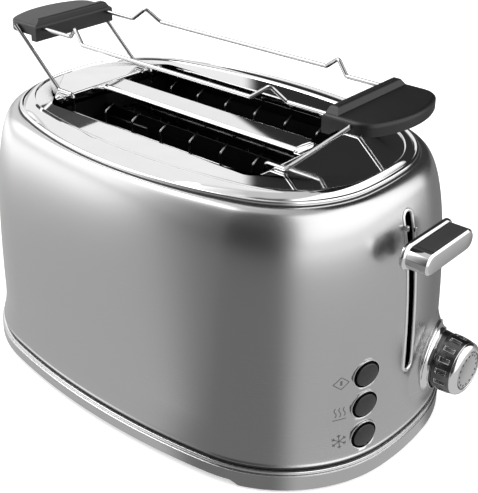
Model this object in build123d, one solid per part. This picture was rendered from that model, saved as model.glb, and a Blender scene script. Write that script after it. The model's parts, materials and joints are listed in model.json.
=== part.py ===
from build123d import *
import os
from math import asin, atan2, cos, degrees, hypot, pi, sin, sqrt

# Two-slot toaster with a lift-off bun rack. Units are millimetres, +Z is up.
# +X points to the end with the lever, the dial and the buttons.
# The origin lies on the worktop under the middle of the toaster's box.

# Casing: an oval pressing, drawn in with height and rolled over into a rim
CASING_LENGTH = 300.0
CASING_WIDTH = 201.4
CASING_SIDE_RADIUS = 443.0
CASING_END_RADIUS = 176.0
CASING_CORNER_RADIUS = 82.0
CASING_FOOT_Z = 15.4
CASING_TOP_Z = 161.0
RIM_LENGTH = CASING_LENGTH - 45.6
RIM_WIDTH = CASING_WIDTH - 31.4
RIM_SIDE_RADIUS = 259.0
RIM_END_RADIUS = 216.0
RIM_CORNER_RADIUS = 61.5
TAPER = 2.75
TAPER_TOP_Z = 36.4
TAPER_STEPS = 6
SHOULDER_POWER = 2.33
SHOULDER_STEPS = 18
SHEET = 0.8
HEM = 1.2
RIM_LEDGE = 3.0

# Top plate: a mirror panel inside a sloped band and a bead
PANEL_LENGTH = RIM_LENGTH - 10.4
PANEL_WIDTH = RIM_WIDTH - 31.2
PANEL_SIDE_RADIUS = 364.0
PANEL_END_RADIUS = 178.0
PANEL_CORNER_RADIUS = 56.0
PANEL_Z = 165.2
PLATE_SHEET = 1.0
BAND_CREST = 0.9
GROOVE = 0.9
BEAD_WIDTH = 2.6
BEAD_HEIGHT = 2.7
VALLEY_DROP = 0.6
WINDOW_CENTRE_X = -5.6
WINDOW_LENGTH = 163.5
WINDOW_WIDTH = PANEL_WIDTH - 39.6
WINDOW_CORNER = 8.0
WINDOW_LIP = 5.0

# Centre strip between the two slots
STRIP_END_GAP = 5.75
STRIP_LENGTH = WINDOW_LENGTH - 2 * STRIP_END_GAP
STRIP_WIDTH = 18.4
STRIP_RISE = 1.6
STRIP_SHEET = 1.0
STRIP_SKIRT = 9.0
STRIP_SOFT = 2.4

# Base: black pan, satin band, polished trim ring, feet
PAN_FLOOR_Z = 3.6
PAN_FLOOR = 1.8
PAN_INSET = 2.4
PAN_WALL = 2.0
PAN_TOP_Z = 16.8
BAND_BOTTOM_Z = 3.5
BAND_TOP_Z = 10.0
BAND_PROUD = 1.9
SKIRT_BOTTOM_Z = 0.8
SKIRT_START_X = 101.0
SKIRT_RAMP = 4.0
TRIM_TOP_Z = 13.5
TRIM_PROUD = 1.2
FOOT_RADIUS = 8.0
FOOT_X = CASING_LENGTH / 2 - 50.0
FOOT_Y = CASING_WIDTH / 2 - 44.7
FOOT_SOFT = 0.6
FOOT_PIN_RADIUS = 2.5

# Clearances
FIT = 0.08
GAP = 0.3

# Lever, its slot and its travel
ARM_Z = 139.0
LEVER_LIFT = 3.0
LEVER_DROP = 64.0
SLOT_BELOW = 16.0
SLOT_WIDTH = 6.0
SLOT_MARGIN = 0.7
SLOT_LINER = 1.0
SLOT_LINER_DEPTH = 2.5
SLOT_TRIM_WIDTH = 3.0
SLOT_TRIM_PROUD = 0.9
ARM_THICKNESS = 3.2
ARM_HEIGHT = 8.0
ARM_TIP_DROP = 5.5
PADDLE_FACE_X = 165.6
PADDLE_Z = 133.6
PADDLE_LENGTH = 46.6
PADDLE_HEIGHT = 12.4
PADDLE_BEVEL = 0.8
PLATE_BACK_X = 150.2
PLATE_DEPTH = 2.8
PLATE_LIP = 1.5
INLAY_DEPTH = 0.9
INLAY_EDGE = 1.8
INLAY_LENGTH = 37.0

# Push buttons
BUTTON_Y = -34.5
BUTTON_ZS = {"defrost_button": 26.6, "reheat_button": 46.4, "cancel_button": 66.2}
BUTTON_RADIUS = 8.0
BUTTON_PROUD = 3.6
BUTTON_DOME = ((1.0, 1.9), (0.93, 1.1), (0.75, 0.55), (0.45, 0.12))
BUTTON_RIM = 1.0
BUTTON_RIM_PROUD = 1.0
BUTTON_BODY = 4.0
BUTTON_STEM_RADIUS = 2.5
BUTTON_STEM = 8.6

# Browning dial
DIAL_Y = 33.2
DIAL_Z = 43.9
DIAL_FACE_X = 168.1
DIAL_FACE_RADIUS = 12.0
DIAL_RADIUS = 17.6
DIAL_BACK_X = 153.2
DIAL_EDGE_X = 163.0
DIAL_FACE_DEPTH = 1.5
DIAL_NOTCHES = 15
NOTCH_LENGTH = 6.0
NOTCH_WIDTH = 3.4
NOTCH_DEPTH = 1.4
BEZEL_RADIUS = 21.0
BEZEL_X = 149.6
BEZEL_NECK_X = 152.6
BEZEL_NECK_RADIUS = 18.6
BEZEL_BACK_X = 133.0
END_RING_CURVE = ((0.0, 0.0), (1.2, 0.3), (3.2, 2.2))
END_RING_LIP = 0.8
DIAL_FACE_SUNK = 0.4
BARREL_SOFT = 0.6
SHAFT_RADIUS = 3.0

# Inner frame
FRAME_LEFT_X = -92.0
FRAME_RIGHT_X = 83.0
FRAME_SHEET = 1.0
FRAME_HALF_WIDTH = 66.0
FRAME_TOP_Z = 156.0
FRAME_FLANGE = 12.0
SLOT_Y = 29.6
REFLECTOR_Y = 64.0
REFLECTOR_BOTTOM_Z = 22.0
HEATER_Y = 58.0
HEATER_BOTTOM_Z = 34.0
HEATER_TOP_Z = 150.0
MICA = 0.6
RIBBON_ROWS = 10
RIBBON_WIDTH = 1.8
RIBBON_THICKNESS = 0.3
RIBBON_MARGIN = 8.0

# Guide cages that press on the bread
CAGE_OUTER_Y = 47.4
CAGE_INNER_Y = 12.4
CAGE_SHIFT = 7.5
CAGE_WIRE = 0.8
CAGE_RAIL_OFFSET = 1.1
CAGE_COUNT = 7
CAGE_END_GAP = 14.0
CAGE_BOTTOM_Z = 42.0
CAGE_TOP_Z = 150.5
CAGE_RAIL_ZS = (52.0, 142.0)
CAGE_HOOK = 7.2
CAGE_HOOK_RISE = 3.5
CAGE_BEND = 2.0

# Carriage
REST_TOP_Z = 108.0
REST_HEIGHT = 9.0
REST_THICKNESS = 2.0
REST_TABS = 6
REST_TAB_HALF = 7.6
REST_TAB_WIDTH = 7.0
REST_TAB_THICKNESS = 1.2
ROD_X = 100.0
ROD_Y = 20.0
ROD_RADIUS = 3.0
ROD_TOP_Z = 151.0
SLIDER_LENGTH = 12.0
SLIDER_WIDTH = 68.0
SLIDER_BOTTOM_Z = 97.0
SLIDER_TOP_Z = 110.0
RISER_WIDTH = 14.0
RISER_THICKNESS = 3.0
KEEPER_Z = 112.0
KEEPER_SIZE = (14.0, 24.0, 2.4)
SPRING_RADIUS = 4.4
SPRING_WALL = 0.9

# Control board
BOARD_X = 127.0
BOARD_THICKNESS = 1.6
BOARD_LEFT_Y = -54.0
BOARD_RIGHT_Y = 52.0
BOARD_WING_Y = -8.0
BOARD_BOTTOM_Z = 12.0
BOARD_BRIDGE_Z = 50.0
BOARD_WING_Z = 78.0
POST_Y = (-44.0, 44.0)
POST_WIDTH = 7.0
POST_TOP_Z = 24.0
SWITCH_SIZE = 6.0
SWITCH_DEPTH = 3.9
POT_DEPTH = 7.0
POT_SIZE = 16.0

# Crumb tray
TRAY_HALF_WIDTH = 50.0
TRAY_RIGHT_X = 74.0
TRAY_WALL = 0.8
TRAY_FLOOR_Z = 5.7
TRAY_TOP_Z = 9.6
TRAY_SEAM = 0.3
TRAY_GRIP = 14.0

# Cord inlet in the floor of the pan
GROMMET_X = 80.0 - CASING_LENGTH / 2
GROMMET_Y = CASING_WIDTH / 2 - 26.7
GROMMET_RADIUS = 6.5
GROMMET_LIP = 1.5
GROMMET_LIP_THICKNESS = 1.2
GROMMET_NECK = 6.0
CORD_HOLE_RADIUS = 3.5

# Screws up through the pan
SCREW_RADIUS = 1.8
SCREW_HEAD_RADIUS = 3.4
SCREW_HEAD = 1.4
SCREW_SOFT = 0.5

# Bun rack
RACK_CENTRE_X = -6.2
RACK_FOOT_X = 76.7
RACK_FOOT_Y = 33.7
RACK_FOOT_DOWN = 10.0
RACK_FOOT_OUT = 13.3
RACK_LEG_OUT = 38.3
RACK_LEG_UP = 34.0
RACK_WIRE = 1.2
RACK_BEND = 2.6
RAIL_Z = 200.3
RAIL_END_Y = 26.4
RAIL_MIDDLE_Y = 33.2
RAIL_KINK_OUTER_X = 84.0
RAIL_PEAK_X = 75.5
RAIL_KINK_INNER_X = 65.5
RAIL_PEAK_UP = 7.4
RAIL_GRIP = 12.0
HANDLE_INNER_X = 110.4
HANDLE_OUTER_X = 145.8
HANDLE_TOP_Z = 203.0
HANDLE_BOTTOM_Z = 196.4
HANDLE_EDGE_RADIUS = 60.0
HANDLE_CORNER = 12.0
HANDLE_SOFT = 2.2
RIDGE_WIDTH = 9.5
RIDGE_TOP_Z = 206.4
RIDGE_BOTTOM_Z = 192.8
RIDGE_LEAN = 1.6
RIDGE_END_SLOPE = 4.5
RIDGE_SOFT = 1.6

# The model is moved along X so that its origin lies under the middle of its box
ORIGIN_X = (DIAL_FACE_X - (CASING_LENGTH / 2 + BAND_PROUD)) / 2


# Ovals of eight tangent arcs

def oval_sizes(length, width, side, end, corner, inset=0.0):
    return (length / 2 - inset, width / 2 - inset, side - inset, end - inset, corner - inset)


CASING = oval_sizes(
    CASING_LENGTH, CASING_WIDTH, CASING_SIDE_RADIUS, CASING_END_RADIUS, CASING_CORNER_RADIUS)
RIM = oval_sizes(RIM_LENGTH, RIM_WIDTH, RIM_SIDE_RADIUS, RIM_END_RADIUS, RIM_CORNER_RADIUS)
PANEL = oval_sizes(
    PANEL_LENGTH, PANEL_WIDTH, PANEL_SIDE_RADIUS, PANEL_END_RADIUS, PANEL_CORNER_RADIUS)


def inset(oval, distance):
    return tuple(size - distance for size in oval)


def blend(first, second, share):
    return tuple(a * (1 - share) + b * share for a, b in zip(first, second))


def oval_arcs(oval):
    """Centre x, centre y, radius, start angle and turn of the eight arcs, anticlockwise."""
    half_length, half_width, side, end, corner = oval
    side_y = half_width - side
    end_x = half_length - end
    span = hypot(end_x, side_y)
    reach = (span ** 2 + (side - corner) ** 2 - (end - corner) ** 2) / (2 * span)
    height = sqrt(max((side - corner) ** 2 - reach ** 2, 0.0))
    ux = end_x / span
    uy = -side_y / span
    corner_x = ux * reach + uy * height
    corner_y = side_y + uy * reach - ux * height
    end_turn = degrees(atan2(corner_y, corner_x - end_x))
    side_turn = degrees(atan2(corner_y - side_y, corner_x))
    corner_turn = side_turn - end_turn
    half_side = 90 - side_turn
    return [
        (end_x, 0.0, end, -end_turn, 2 * end_turn),
        (corner_x, corner_y, corner, end_turn, corner_turn),
        (0.0, side_y, side, side_turn, 2 * half_side),
        (-corner_x, corner_y, corner, 180 - side_turn, corner_turn),
        (-end_x, 0.0, end, 180 - end_turn, 2 * end_turn),
        (-corner_x, -corner_y, corner, 180 + end_turn, corner_turn),
        (0.0, -side_y, side, 180 + side_turn, 2 * half_side),
        (corner_x, -corner_y, corner, 360 - side_turn, corner_turn),
    ]


def arc_point(arc, share, z):
    x, y, radius, start, turn = arc
    angle = (start + turn * share) * pi / 180
    return (x + radius * cos(angle), y + radius * sin(angle), z)


def oval_wire(oval, z):
    arcs = oval_arcs(oval)
    edges = []
    for arc, following in zip(arcs, arcs[1:] + arcs[:1]):
        ends = (arc_point(arc, 0, z), arc_point(arc, 0.5, z), arc_point(following, 0, z))
        edges.append(Edge.make_three_point_arc(*ends))
    return Wire(edges)


def oval_slab(oval, bottom, top):
    return extrude(Face(oval_wire(oval, bottom)), top - bottom, (0, 0, 1))


def oval_loft(sections):
    wires = [oval_wire(oval, z) for oval, z in sections]
    return Solid.make_loft(wires, True)


def oval_ring(oval, outline):
    """Sweep an outline of (inset, z) points round the oval, one exact turn for each arc."""
    pieces = []
    for x, y, radius, start, turn in oval_arcs(oval):
        points = [(radius - depth, z) for depth, z in outline]
        face = make_face(Plane.XZ * Polyline(*points, close=True))
        piece = revolve(face, Axis.Z, revolution_arc=turn)
        pieces.append(Pos(x, y, 0) * Rot(0, 0, start) * piece)
    return pieces[0].fuse(*pieces[1:])


# Plain shapes

def block(low, high):
    size = [b - a for a, b in zip(low, high)]
    centre = [(a + b) / 2 for a, b in zip(low, high)]
    return Pos(*centre) * Box(*size)


def rod(start, end, radius):
    line = Vector(*end) - Vector(*start)
    plane = Plane(origin=start, z_dir=line)
    return plane * Pos(0, 0, line.length / 2) * Cylinder(radius, line.length)


def wire_run(points, radius, bend):
    path = FilletPolyline(*points, radius=bend)
    start = Plane(origin=path @ 0, z_dir=path % 0)
    return sweep(start * Circle(radius), path)


def turned(outline, x, y, z):
    """A solid of revolution about a line along +X, from (x, radius) points."""
    face = make_face(Plane.XZ * Polyline(*outline, close=True))
    return Pos(x, y, z) * revolve(face, Axis.X)


def turned_up(outline):
    """A solid of revolution about Z, from (radius, z) points."""
    return revolve(make_face(Plane.XZ * Polyline(*outline, close=True)), Axis.Z)


# Casing profile

def taper_at(z):
    share = min((z - CASING_FOOT_Z) / (TAPER_TOP_Z - CASING_FOOT_Z), 1.0)
    return TAPER * sin(pi / 2 * share)


def shoulder(angle):
    """Share of the way to the rim and height, at an angle of 0 at the wall and 90 at the rim."""
    power = 2 / SHOULDER_POWER
    turn = angle * pi / 180
    share = 1 - max(cos(turn), 0.0) ** power
    return share, TAPER_TOP_Z + (CASING_TOP_Z - TAPER_TOP_Z) * sin(turn) ** power


def shoulder_sections(depth):
    wall = inset(CASING, TAPER)
    drawn_in = (CASING_LENGTH - RIM_LENGTH + CASING_WIDTH - RIM_WIDTH) / 4
    sections = []
    for step in range(SHOULDER_STEPS + 1):
        angle = 90 * step / SHOULDER_STEPS
        share, z = shoulder(angle)
        before, below = shoulder(max(angle - 1, 0))
        after, above = shoulder(min(angle + 1, 90))
        across = (after - before) * drawn_in
        up = above - below
        if step == 0:
            across = 0.0
        if step == SHOULDER_STEPS:
            up = 0.0
        slope = hypot(across, up)
        sections.append((inset(blend(wall, RIM, share), depth * up / slope), z - depth * across / slope))
    return sections


def wall_x(y, z):
    """Outside of the control-end wall below the shoulder."""
    oval = inset(CASING, taper_at(z))
    return oval[0] - oval[3] + sqrt(oval[3] ** 2 - y ** 2)


def button_plane(z):
    oval = inset(CASING, TAPER)
    tilt = asin(BUTTON_Y / oval[3])
    outward = (cos(tilt), sin(tilt), 0)
    return Plane(origin=(wall_x(BUTTON_Y, z), BUTTON_Y, z), x_dir=(0, 0, 1), z_dir=outward)


def taper_steps():
    """Heights at which the drawn-in lower wall changes its slope."""
    low = CASING_FOOT_Z + HEM
    steps = [low + (TAPER_TOP_Z - low) * step / TAPER_STEPS for step in range(TAPER_STEPS + 1)]
    return [CASING_FOOT_Z] + steps


def lower_wall():
    outer = [(taper_at(z), z) for z in taper_steps()[1:]]
    inner = [(depth + SHEET, z) for depth, z in reversed(outer)]
    hem = [(HEM, CASING_FOOT_Z), (HEM / 2, CASING_FOOT_Z), (HEM / 5, CASING_FOOT_Z + HEM / 5)]
    return oval_ring(CASING, hem + outer + inner + [(HEM, CASING_FOOT_Z + HEM / 2)])


def slot_prism(grow):
    """The lever's slot as a prism along X, made larger all round by grow."""
    low = ARM_Z - LEVER_DROP - ARM_HEIGHT / 2 - SLOT_MARGIN - SLOT_BELOW
    high = ARM_Z + LEVER_LIFT + ARM_HEIGHT / 2 + SLOT_MARGIN
    outline = SlotOverall(high - low + 2 * grow, SLOT_WIDTH + 2 * grow)
    plane = Plane(origin=(ROD_X, 0, (low + high) / 2), x_dir=(0, 0, 1), z_dir=(1, 0, 0))
    return extrude(plane * outline, PADDLE_FACE_X - ROD_X)


def casing_block(depth=0.0):
    """The casing's outside as a full solid, moved in by depth, to trim what seats on it."""
    low = [(inset(CASING, taper_at(z) + depth), z) for z in taper_steps()]
    return oval_loft(low) + oval_loft(shoulder_sections(depth))


def outer_casing():
    shell = oval_loft(shoulder_sections(0)) - oval_loft(shoulder_sections(SHEET))
    shell -= oval_slab(inset(RIM, RIM_LEDGE), CASING_TOP_Z - 5, CASING_TOP_Z + 5)
    shell += lower_wall()
    shell -= slot_prism(SLOT_LINER)
    for z in BUTTON_ZS.values():
        shell -= button_plane(z) * Cylinder(BUTTON_RADIUS + GAP + BUTTON_RIM / 2, 4 * BUTTON_BODY)
    shaft_hole = rod((ROD_X, DIAL_Y, DIAL_Z), (DIAL_FACE_X, DIAL_Y, DIAL_Z), SHAFT_RADIUS + GAP)
    return shell - shaft_hole


# Top plate and centre strip

def band_sections(lower):
    start = inset(RIM, GROOVE + BEAD_WIDTH)
    crest = PANEL_Z + BAND_CREST
    valley = CASING_TOP_Z + BEAD_HEIGHT - VALLEY_DROP
    sections = []
    for share in (0.0, 0.3, 0.6, 0.85, 1.0):
        z = valley + (crest - valley) * sin(pi / 2 * share)
        sections.append((blend(start, PANEL, share), z - lower))
    sections.append((inset(PANEL, PLATE_SHEET), crest - lower))
    return sections


def bead():
    low = CASING_TOP_Z
    high = CASING_TOP_Z + BEAD_HEIGHT
    outer = GROOVE
    inner = GROOVE + BEAD_WIDTH
    outline = [
        (outer, low),
        (outer, high - 1.0),
        (outer + 0.3, high - 0.35),
        (outer + 0.9, high),
        (inner - 0.6, high - VALLEY_DROP / 3),
        (inner, high - VALLEY_DROP),
        (inner, high - VALLEY_DROP - PLATE_SHEET),
        (outer + PLATE_SHEET, low),
    ]
    return oval_ring(RIM, outline)


def window(grow, bottom, top):
    outline = RectangleRounded(WINDOW_LENGTH + 2 * grow, WINDOW_WIDTH + 2 * grow, WINDOW_CORNER + grow)
    return Pos(WINDOW_CENTRE_X, 0, bottom) * extrude(outline, top - bottom)


def top_plate():
    valley = CASING_TOP_Z + BEAD_HEIGHT - VALLEY_DROP
    band = oval_loft(band_sections(0))
    band += oval_slab(inset(RIM, GROOVE + BEAD_WIDTH), valley - PLATE_SHEET, valley)
    plate = band - oval_loft(band_sections(PLATE_SHEET))
    plate -= oval_slab(inset(PANEL, PLATE_SHEET), valley - 5, PANEL_Z + 5)
    plate += oval_slab(PANEL, PANEL_Z - PLATE_SHEET, PANEL_Z)
    plate += bead()
    plate += window(PLATE_SHEET, PANEL_Z - WINDOW_LIP, PANEL_Z - PLATE_SHEET)
    return plate - window(0, PANEL_Z - 2 * WINDOW_LIP, PANEL_Z + WINDOW_LIP)


def centre_strip():
    left = WINDOW_CENTRE_X - STRIP_LENGTH / 2
    right = WINDOW_CENTRE_X + STRIP_LENGTH / 2
    half = STRIP_WIDTH / 2
    top = PANEL_Z + STRIP_RISE
    strip = block((left, -half, top - STRIP_SKIRT), (right, half, top))
    strip = fillet(strip.edges().filter_by(Axis.X).group_by(Axis.Z)[-1], STRIP_SOFT)
    strip -= block(
        (left + STRIP_SHEET, -half + STRIP_SHEET, top - STRIP_SKIRT),
        (right - STRIP_SHEET, half - STRIP_SHEET, top - STRIP_SOFT))
    window_half = WINDOW_LENGTH / 2
    tab_top = PANEL_Z - PLATE_SHEET
    for low_x, high_x in ((-window_half, -STRIP_LENGTH / 2), (STRIP_LENGTH / 2, window_half)):
        strip += block(
            (WINDOW_CENTRE_X + low_x, -half, tab_top - STRIP_SOFT),
            (WINDOW_CENTRE_X + high_x, half, tab_top))
    return strip


# Base

def feet_places():
    return [(x, y) for x in (-FOOT_X, FOOT_X) for y in (-FOOT_Y, FOOT_Y)]


def screw_places():
    inner = FRAME_FLANGE / 2
    half = FRAME_HALF_WIDTH - inner
    ends = (FRAME_LEFT_X + inner, FRAME_RIGHT_X - inner)
    return [(x, y) for x in ends for y in (-half, half)]


def tray_window():
    half = TRAY_HALF_WIDTH + TRAY_SEAM
    return block(
        (-CASING_LENGTH, -half, PAN_FLOOR_Z + PAN_FLOOR),
        (-CASING_LENGTH / 3, half, BAND_TOP_Z))


def base_pan():
    floor_top = PAN_FLOOR_Z + PAN_FLOOR
    pan = oval_slab(inset(CASING, PAN_INSET), PAN_FLOOR_Z, PAN_TOP_Z)
    pan -= oval_slab(inset(CASING, PAN_INSET + PAN_WALL), floor_top, PAN_TOP_Z)
    ledge = [
        (HEM / 2, TRIM_TOP_Z), (PAN_INSET + PAN_WALL, TRIM_TOP_Z),
        (PAN_INSET + PAN_WALL, CASING_FOOT_Z), (HEM / 2, CASING_FOOT_Z)]
    pan += oval_ring(CASING, ledge)
    pan -= tray_window()
    for x, y in feet_places():
        pan -= Pos(x, y, PAN_FLOOR_Z) * Cylinder(FOOT_PIN_RADIUS, 4 * PAN_FLOOR)
    for x, y in screw_places():
        pan -= Pos(x, y, PAN_FLOOR_Z) * Cylinder(SCREW_RADIUS, 4 * PAN_FLOOR)
    return pan - Pos(GROMMET_X, GROMMET_Y, PAN_FLOOR_Z) * Cylinder(GROMMET_RADIUS, 4 * PAN_FLOOR)


def band_outline(bottom, top):
    round_off = BAND_PROUD / 3
    return [
        (PAN_INSET, bottom),
        (-BAND_PROUD + round_off, bottom),
        (-BAND_PROUD, bottom + round_off),
        (-BAND_PROUD, top - round_off),
        (-BAND_PROUD + round_off, top),
        (PAN_INSET, top),
    ]


def skirt_outline():
    """Below the pan the skirt is a thin wall, so that it clears the feet and the floor."""
    return [
        (-BAND_PROUD + BAND_PROUD / 3, SKIRT_BOTTOM_Z),
        (-BAND_PROUD, SKIRT_BOTTOM_Z + BAND_PROUD / 3),
        (-BAND_PROUD, BAND_BOTTOM_Z + BAND_PROUD),
        (PAN_INSET, BAND_BOTTOM_Z + BAND_PROUD),
        (PAN_INSET, BAND_BOTTOM_Z),
        (0, BAND_BOTTOM_Z),
        (0, SKIRT_BOTTOM_Z),
    ]


def base_band():
    band = oval_ring(CASING, band_outline(BAND_BOTTOM_Z, BAND_TOP_Z))
    ramp = Polyline(
        (SKIRT_START_X - SKIRT_RAMP, BAND_BOTTOM_Z + BAND_PROUD),
        (SKIRT_START_X - SKIRT_RAMP, BAND_BOTTOM_Z),
        (SKIRT_START_X, SKIRT_BOTTOM_Z),
        (CASING_LENGTH, SKIRT_BOTTOM_Z),
        (CASING_LENGTH, BAND_BOTTOM_Z + BAND_PROUD),
        close=True)
    keep = extrude(Plane.XZ * make_face(ramp), CASING_WIDTH, both=True)
    band += oval_ring(CASING, skirt_outline()) & keep
    half = TRAY_HALF_WIDTH + TRAY_SEAM
    return band - block((-CASING_LENGTH, -half, 0), (-CASING_LENGTH / 3, half, BAND_TOP_Z))


def base_trim_ring():
    middle = (BAND_TOP_Z + TRIM_TOP_Z) / 2
    outline = [
        (PAN_INSET, BAND_TOP_Z),
        (-TRIM_PROUD / 2, BAND_TOP_Z),
        (-TRIM_PROUD, (BAND_TOP_Z + middle) / 2),
        (-TRIM_PROUD, (TRIM_TOP_Z + middle) / 2),
        (-TRIM_PROUD / 2, TRIM_TOP_Z),
        (PAN_INSET, TRIM_TOP_Z),
    ]
    return oval_ring(CASING, outline)


def rubber_feet():
    top = PAN_FLOOR_Z + PAN_FLOOR + FOOT_SOFT
    outline = [
        (0, 0), (FOOT_RADIUS - FOOT_SOFT, 0), (FOOT_RADIUS, FOOT_SOFT), (FOOT_RADIUS, PAN_FLOOR_Z),
        (FOOT_PIN_RADIUS, PAN_FLOOR_Z), (FOOT_PIN_RADIUS, top), (0, top)]
    foot = turned_up(outline)
    return [Pos(x, y, 0) * foot for x, y in feet_places()]


def base_screws():
    head = PAN_FLOOR_Z - SCREW_HEAD
    top = PAN_FLOOR_Z + PAN_FLOOR + FRAME_SHEET + SCREW_RADIUS
    outline = [
        (0, head), (SCREW_HEAD_RADIUS - SCREW_SOFT, head), (SCREW_HEAD_RADIUS, PAN_FLOOR_Z - SCREW_SOFT),
        (SCREW_HEAD_RADIUS, PAN_FLOOR_Z), (SCREW_RADIUS, PAN_FLOOR_Z), (SCREW_RADIUS, top), (0, top)]
    screw = turned_up(outline)
    return [Pos(x, y, 0) * screw for x, y in screw_places()]


def cord_grommet():
    floor_top = PAN_FLOOR_Z + PAN_FLOOR
    lip = GROMMET_RADIUS + GROMMET_LIP
    thickness = GROMMET_LIP_THICKNESS
    outline = [
        (CORD_HOLE_RADIUS, PAN_FLOOR_Z - thickness), (GROMMET_RADIUS, PAN_FLOOR_Z - thickness),
        (lip, PAN_FLOOR_Z), (GROMMET_RADIUS, PAN_FLOOR_Z),
        (GROMMET_RADIUS, floor_top), (lip, floor_top),
        (lip, floor_top + thickness), (CORD_HOLE_RADIUS, floor_top + GROMMET_NECK)]
    return Pos(GROMMET_X, GROMMET_Y, 0) * turned_up(outline)


def crumb_tray():
    left = -CASING_LENGTH / 2 + PAN_INSET
    half = TRAY_HALF_WIDTH
    tray = block((left + PAN_WALL, -half, TRAY_FLOOR_Z), (TRAY_RIGHT_X, half, TRAY_TOP_Z))
    tray -= block(
        (left + 4 * PAN_WALL, -half + TRAY_WALL, TRAY_FLOOR_Z + TRAY_WALL),
        (TRAY_RIGHT_X - TRAY_WALL, half - TRAY_WALL, TRAY_TOP_Z))
    tray &= oval_slab(inset(CASING, PAN_INSET / 2), 0, PAN_TOP_Z)
    front = oval_ring(CASING, band_outline(BAND_BOTTOM_Z + TRAY_SEAM, BAND_TOP_Z - TRAY_SEAM))
    front &= block((-CASING_LENGTH, -half, 0), (-CASING_LENGTH / 3, half, BAND_TOP_Z))
    grip = Pos(-CASING_LENGTH / 2 - BAND_PROUD, 0, BAND_BOTTOM_Z) * Cylinder(TRAY_GRIP / 2, BAND_PROUD)
    return tray + front - grip


# Lever and its trim

def lever_slot_trim():
    flange = slot_prism(SLOT_TRIM_WIDTH) & (casing_block(-SLOT_TRIM_PROUD) - casing_block())
    liner = slot_prism(SLOT_LINER) & (casing_block() - casing_block(SLOT_LINER_DEPTH))
    return flange + liner - slot_prism(0)


def stadium(length, height, depth, x):
    outline = SlotOverall(length, height)
    plane = Plane(origin=(x, 0, PADDLE_Z), x_dir=(0, 1, 0), z_dir=(1, 0, 0))
    return extrude(plane * outline, depth)


def lever_back_plate():
    plate = stadium(PADDLE_LENGTH + 2 * PLATE_LIP, PADDLE_HEIGHT + 2 * PLATE_LIP, PLATE_DEPTH, PLATE_BACK_X)
    return chamfer(plate.edges().group_by(Axis.X)[-1], PADDLE_BEVEL)


def inlay_pocket():
    top = PADDLE_Z + PADDLE_HEIGHT / 2
    low_x = PLATE_BACK_X + PLATE_DEPTH
    return block(
        (low_x, -INLAY_LENGTH / 2, top - INLAY_DEPTH),
        (PADDLE_FACE_X - INLAY_EDGE, INLAY_LENGTH / 2, top + INLAY_DEPTH))


def lever_paddle():
    front = PLATE_BACK_X + PLATE_DEPTH
    paddle = stadium(PADDLE_LENGTH, PADDLE_HEIGHT, PADDLE_FACE_X - front, front)
    paddle = chamfer(paddle.edges().group_by(Axis.X)[-1], PADDLE_BEVEL)
    return paddle - inlay_pocket()


def lever_inlay():
    top = PADDLE_Z + PADDLE_HEIGHT / 2
    pad = inlay_pocket() - block(
        (ROD_X, -INLAY_LENGTH, top), (2 * PADDLE_FACE_X, INLAY_LENGTH, top + 2 * INLAY_DEPTH))
    return pad


def lever_arm():
    half = ARM_HEIGHT / 2
    left = ROD_X + SLIDER_LENGTH / 2 + RISER_THICKNESS
    bend = CASING_LENGTH / 2 - 3 * TAPER
    outline = Polyline(
        (left, ARM_Z - half), (bend, ARM_Z - half), (PLATE_BACK_X, ARM_Z - half - ARM_TIP_DROP),
        (PLATE_BACK_X, ARM_Z), (bend + half, ARM_Z + half - 1), (bend, ARM_Z + half),
        (left, ARM_Z + half), close=True)
    return extrude(Plane.XZ * make_face(outline), ARM_THICKNESS / 2, both=True)


# Buttons and dial

def push_button(z):
    dome = [(BUTTON_RADIUS * share, BUTTON_PROUD - drop) for share, drop in BUTTON_DOME]
    body = [
        (0, -BUTTON_STEM), (BUTTON_STEM_RADIUS, -BUTTON_STEM),
        (BUTTON_STEM_RADIUS, -BUTTON_BODY), (BUTTON_RADIUS + BUTTON_RIM, -BUTTON_BODY),
        (BUTTON_RADIUS + BUTTON_RIM, BUTTON_RIM - BUTTON_BODY), (BUTTON_RADIUS, BUTTON_RIM - BUTTON_BODY)]
    return button_plane(z) * turned_up(body + dome + [(0, BUTTON_PROUD)])


def button_rims():
    rims = []
    body = casing_block()
    inner = BUTTON_RADIUS + GAP
    outer = inner + BUTTON_RIM
    for z in BUTTON_ZS.values():
        outline = [
            (inner, -SLOT_LINER_DEPTH), (inner + BUTTON_RIM / 2, -SLOT_LINER_DEPTH),
            (inner + BUTTON_RIM / 2, -SHEET), (outer, -SHEET), (outer, BUTTON_RIM_PROUD / 2),
            (inner + BUTTON_RIM / 2, BUTTON_RIM_PROUD),
            (inner, BUTTON_RIM_PROUD)]
        ring = button_plane(z) * turned_up(outline)
        hole = button_plane(z) * Cylinder(inner + BUTTON_RIM / 2, 4 * BUTTON_BODY)
        rims.append((ring - body) + (ring & hole))
    return rims


def dial_bezel():
    outline = [
        (BEZEL_BACK_X, SHAFT_RADIUS + FIT), (BEZEL_BACK_X, BEZEL_RADIUS), (BEZEL_X, BEZEL_RADIUS),
        (BEZEL_X + 0.9, BEZEL_RADIUS - 0.5), (BEZEL_X + 1.9, BEZEL_RADIUS - 1.4),
        (BEZEL_NECK_X, BEZEL_NECK_RADIUS), (BEZEL_NECK_X, SHAFT_RADIUS + FIT)]
    return turned(outline, 0, DIAL_Y, DIAL_Z) - casing_block()


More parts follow.
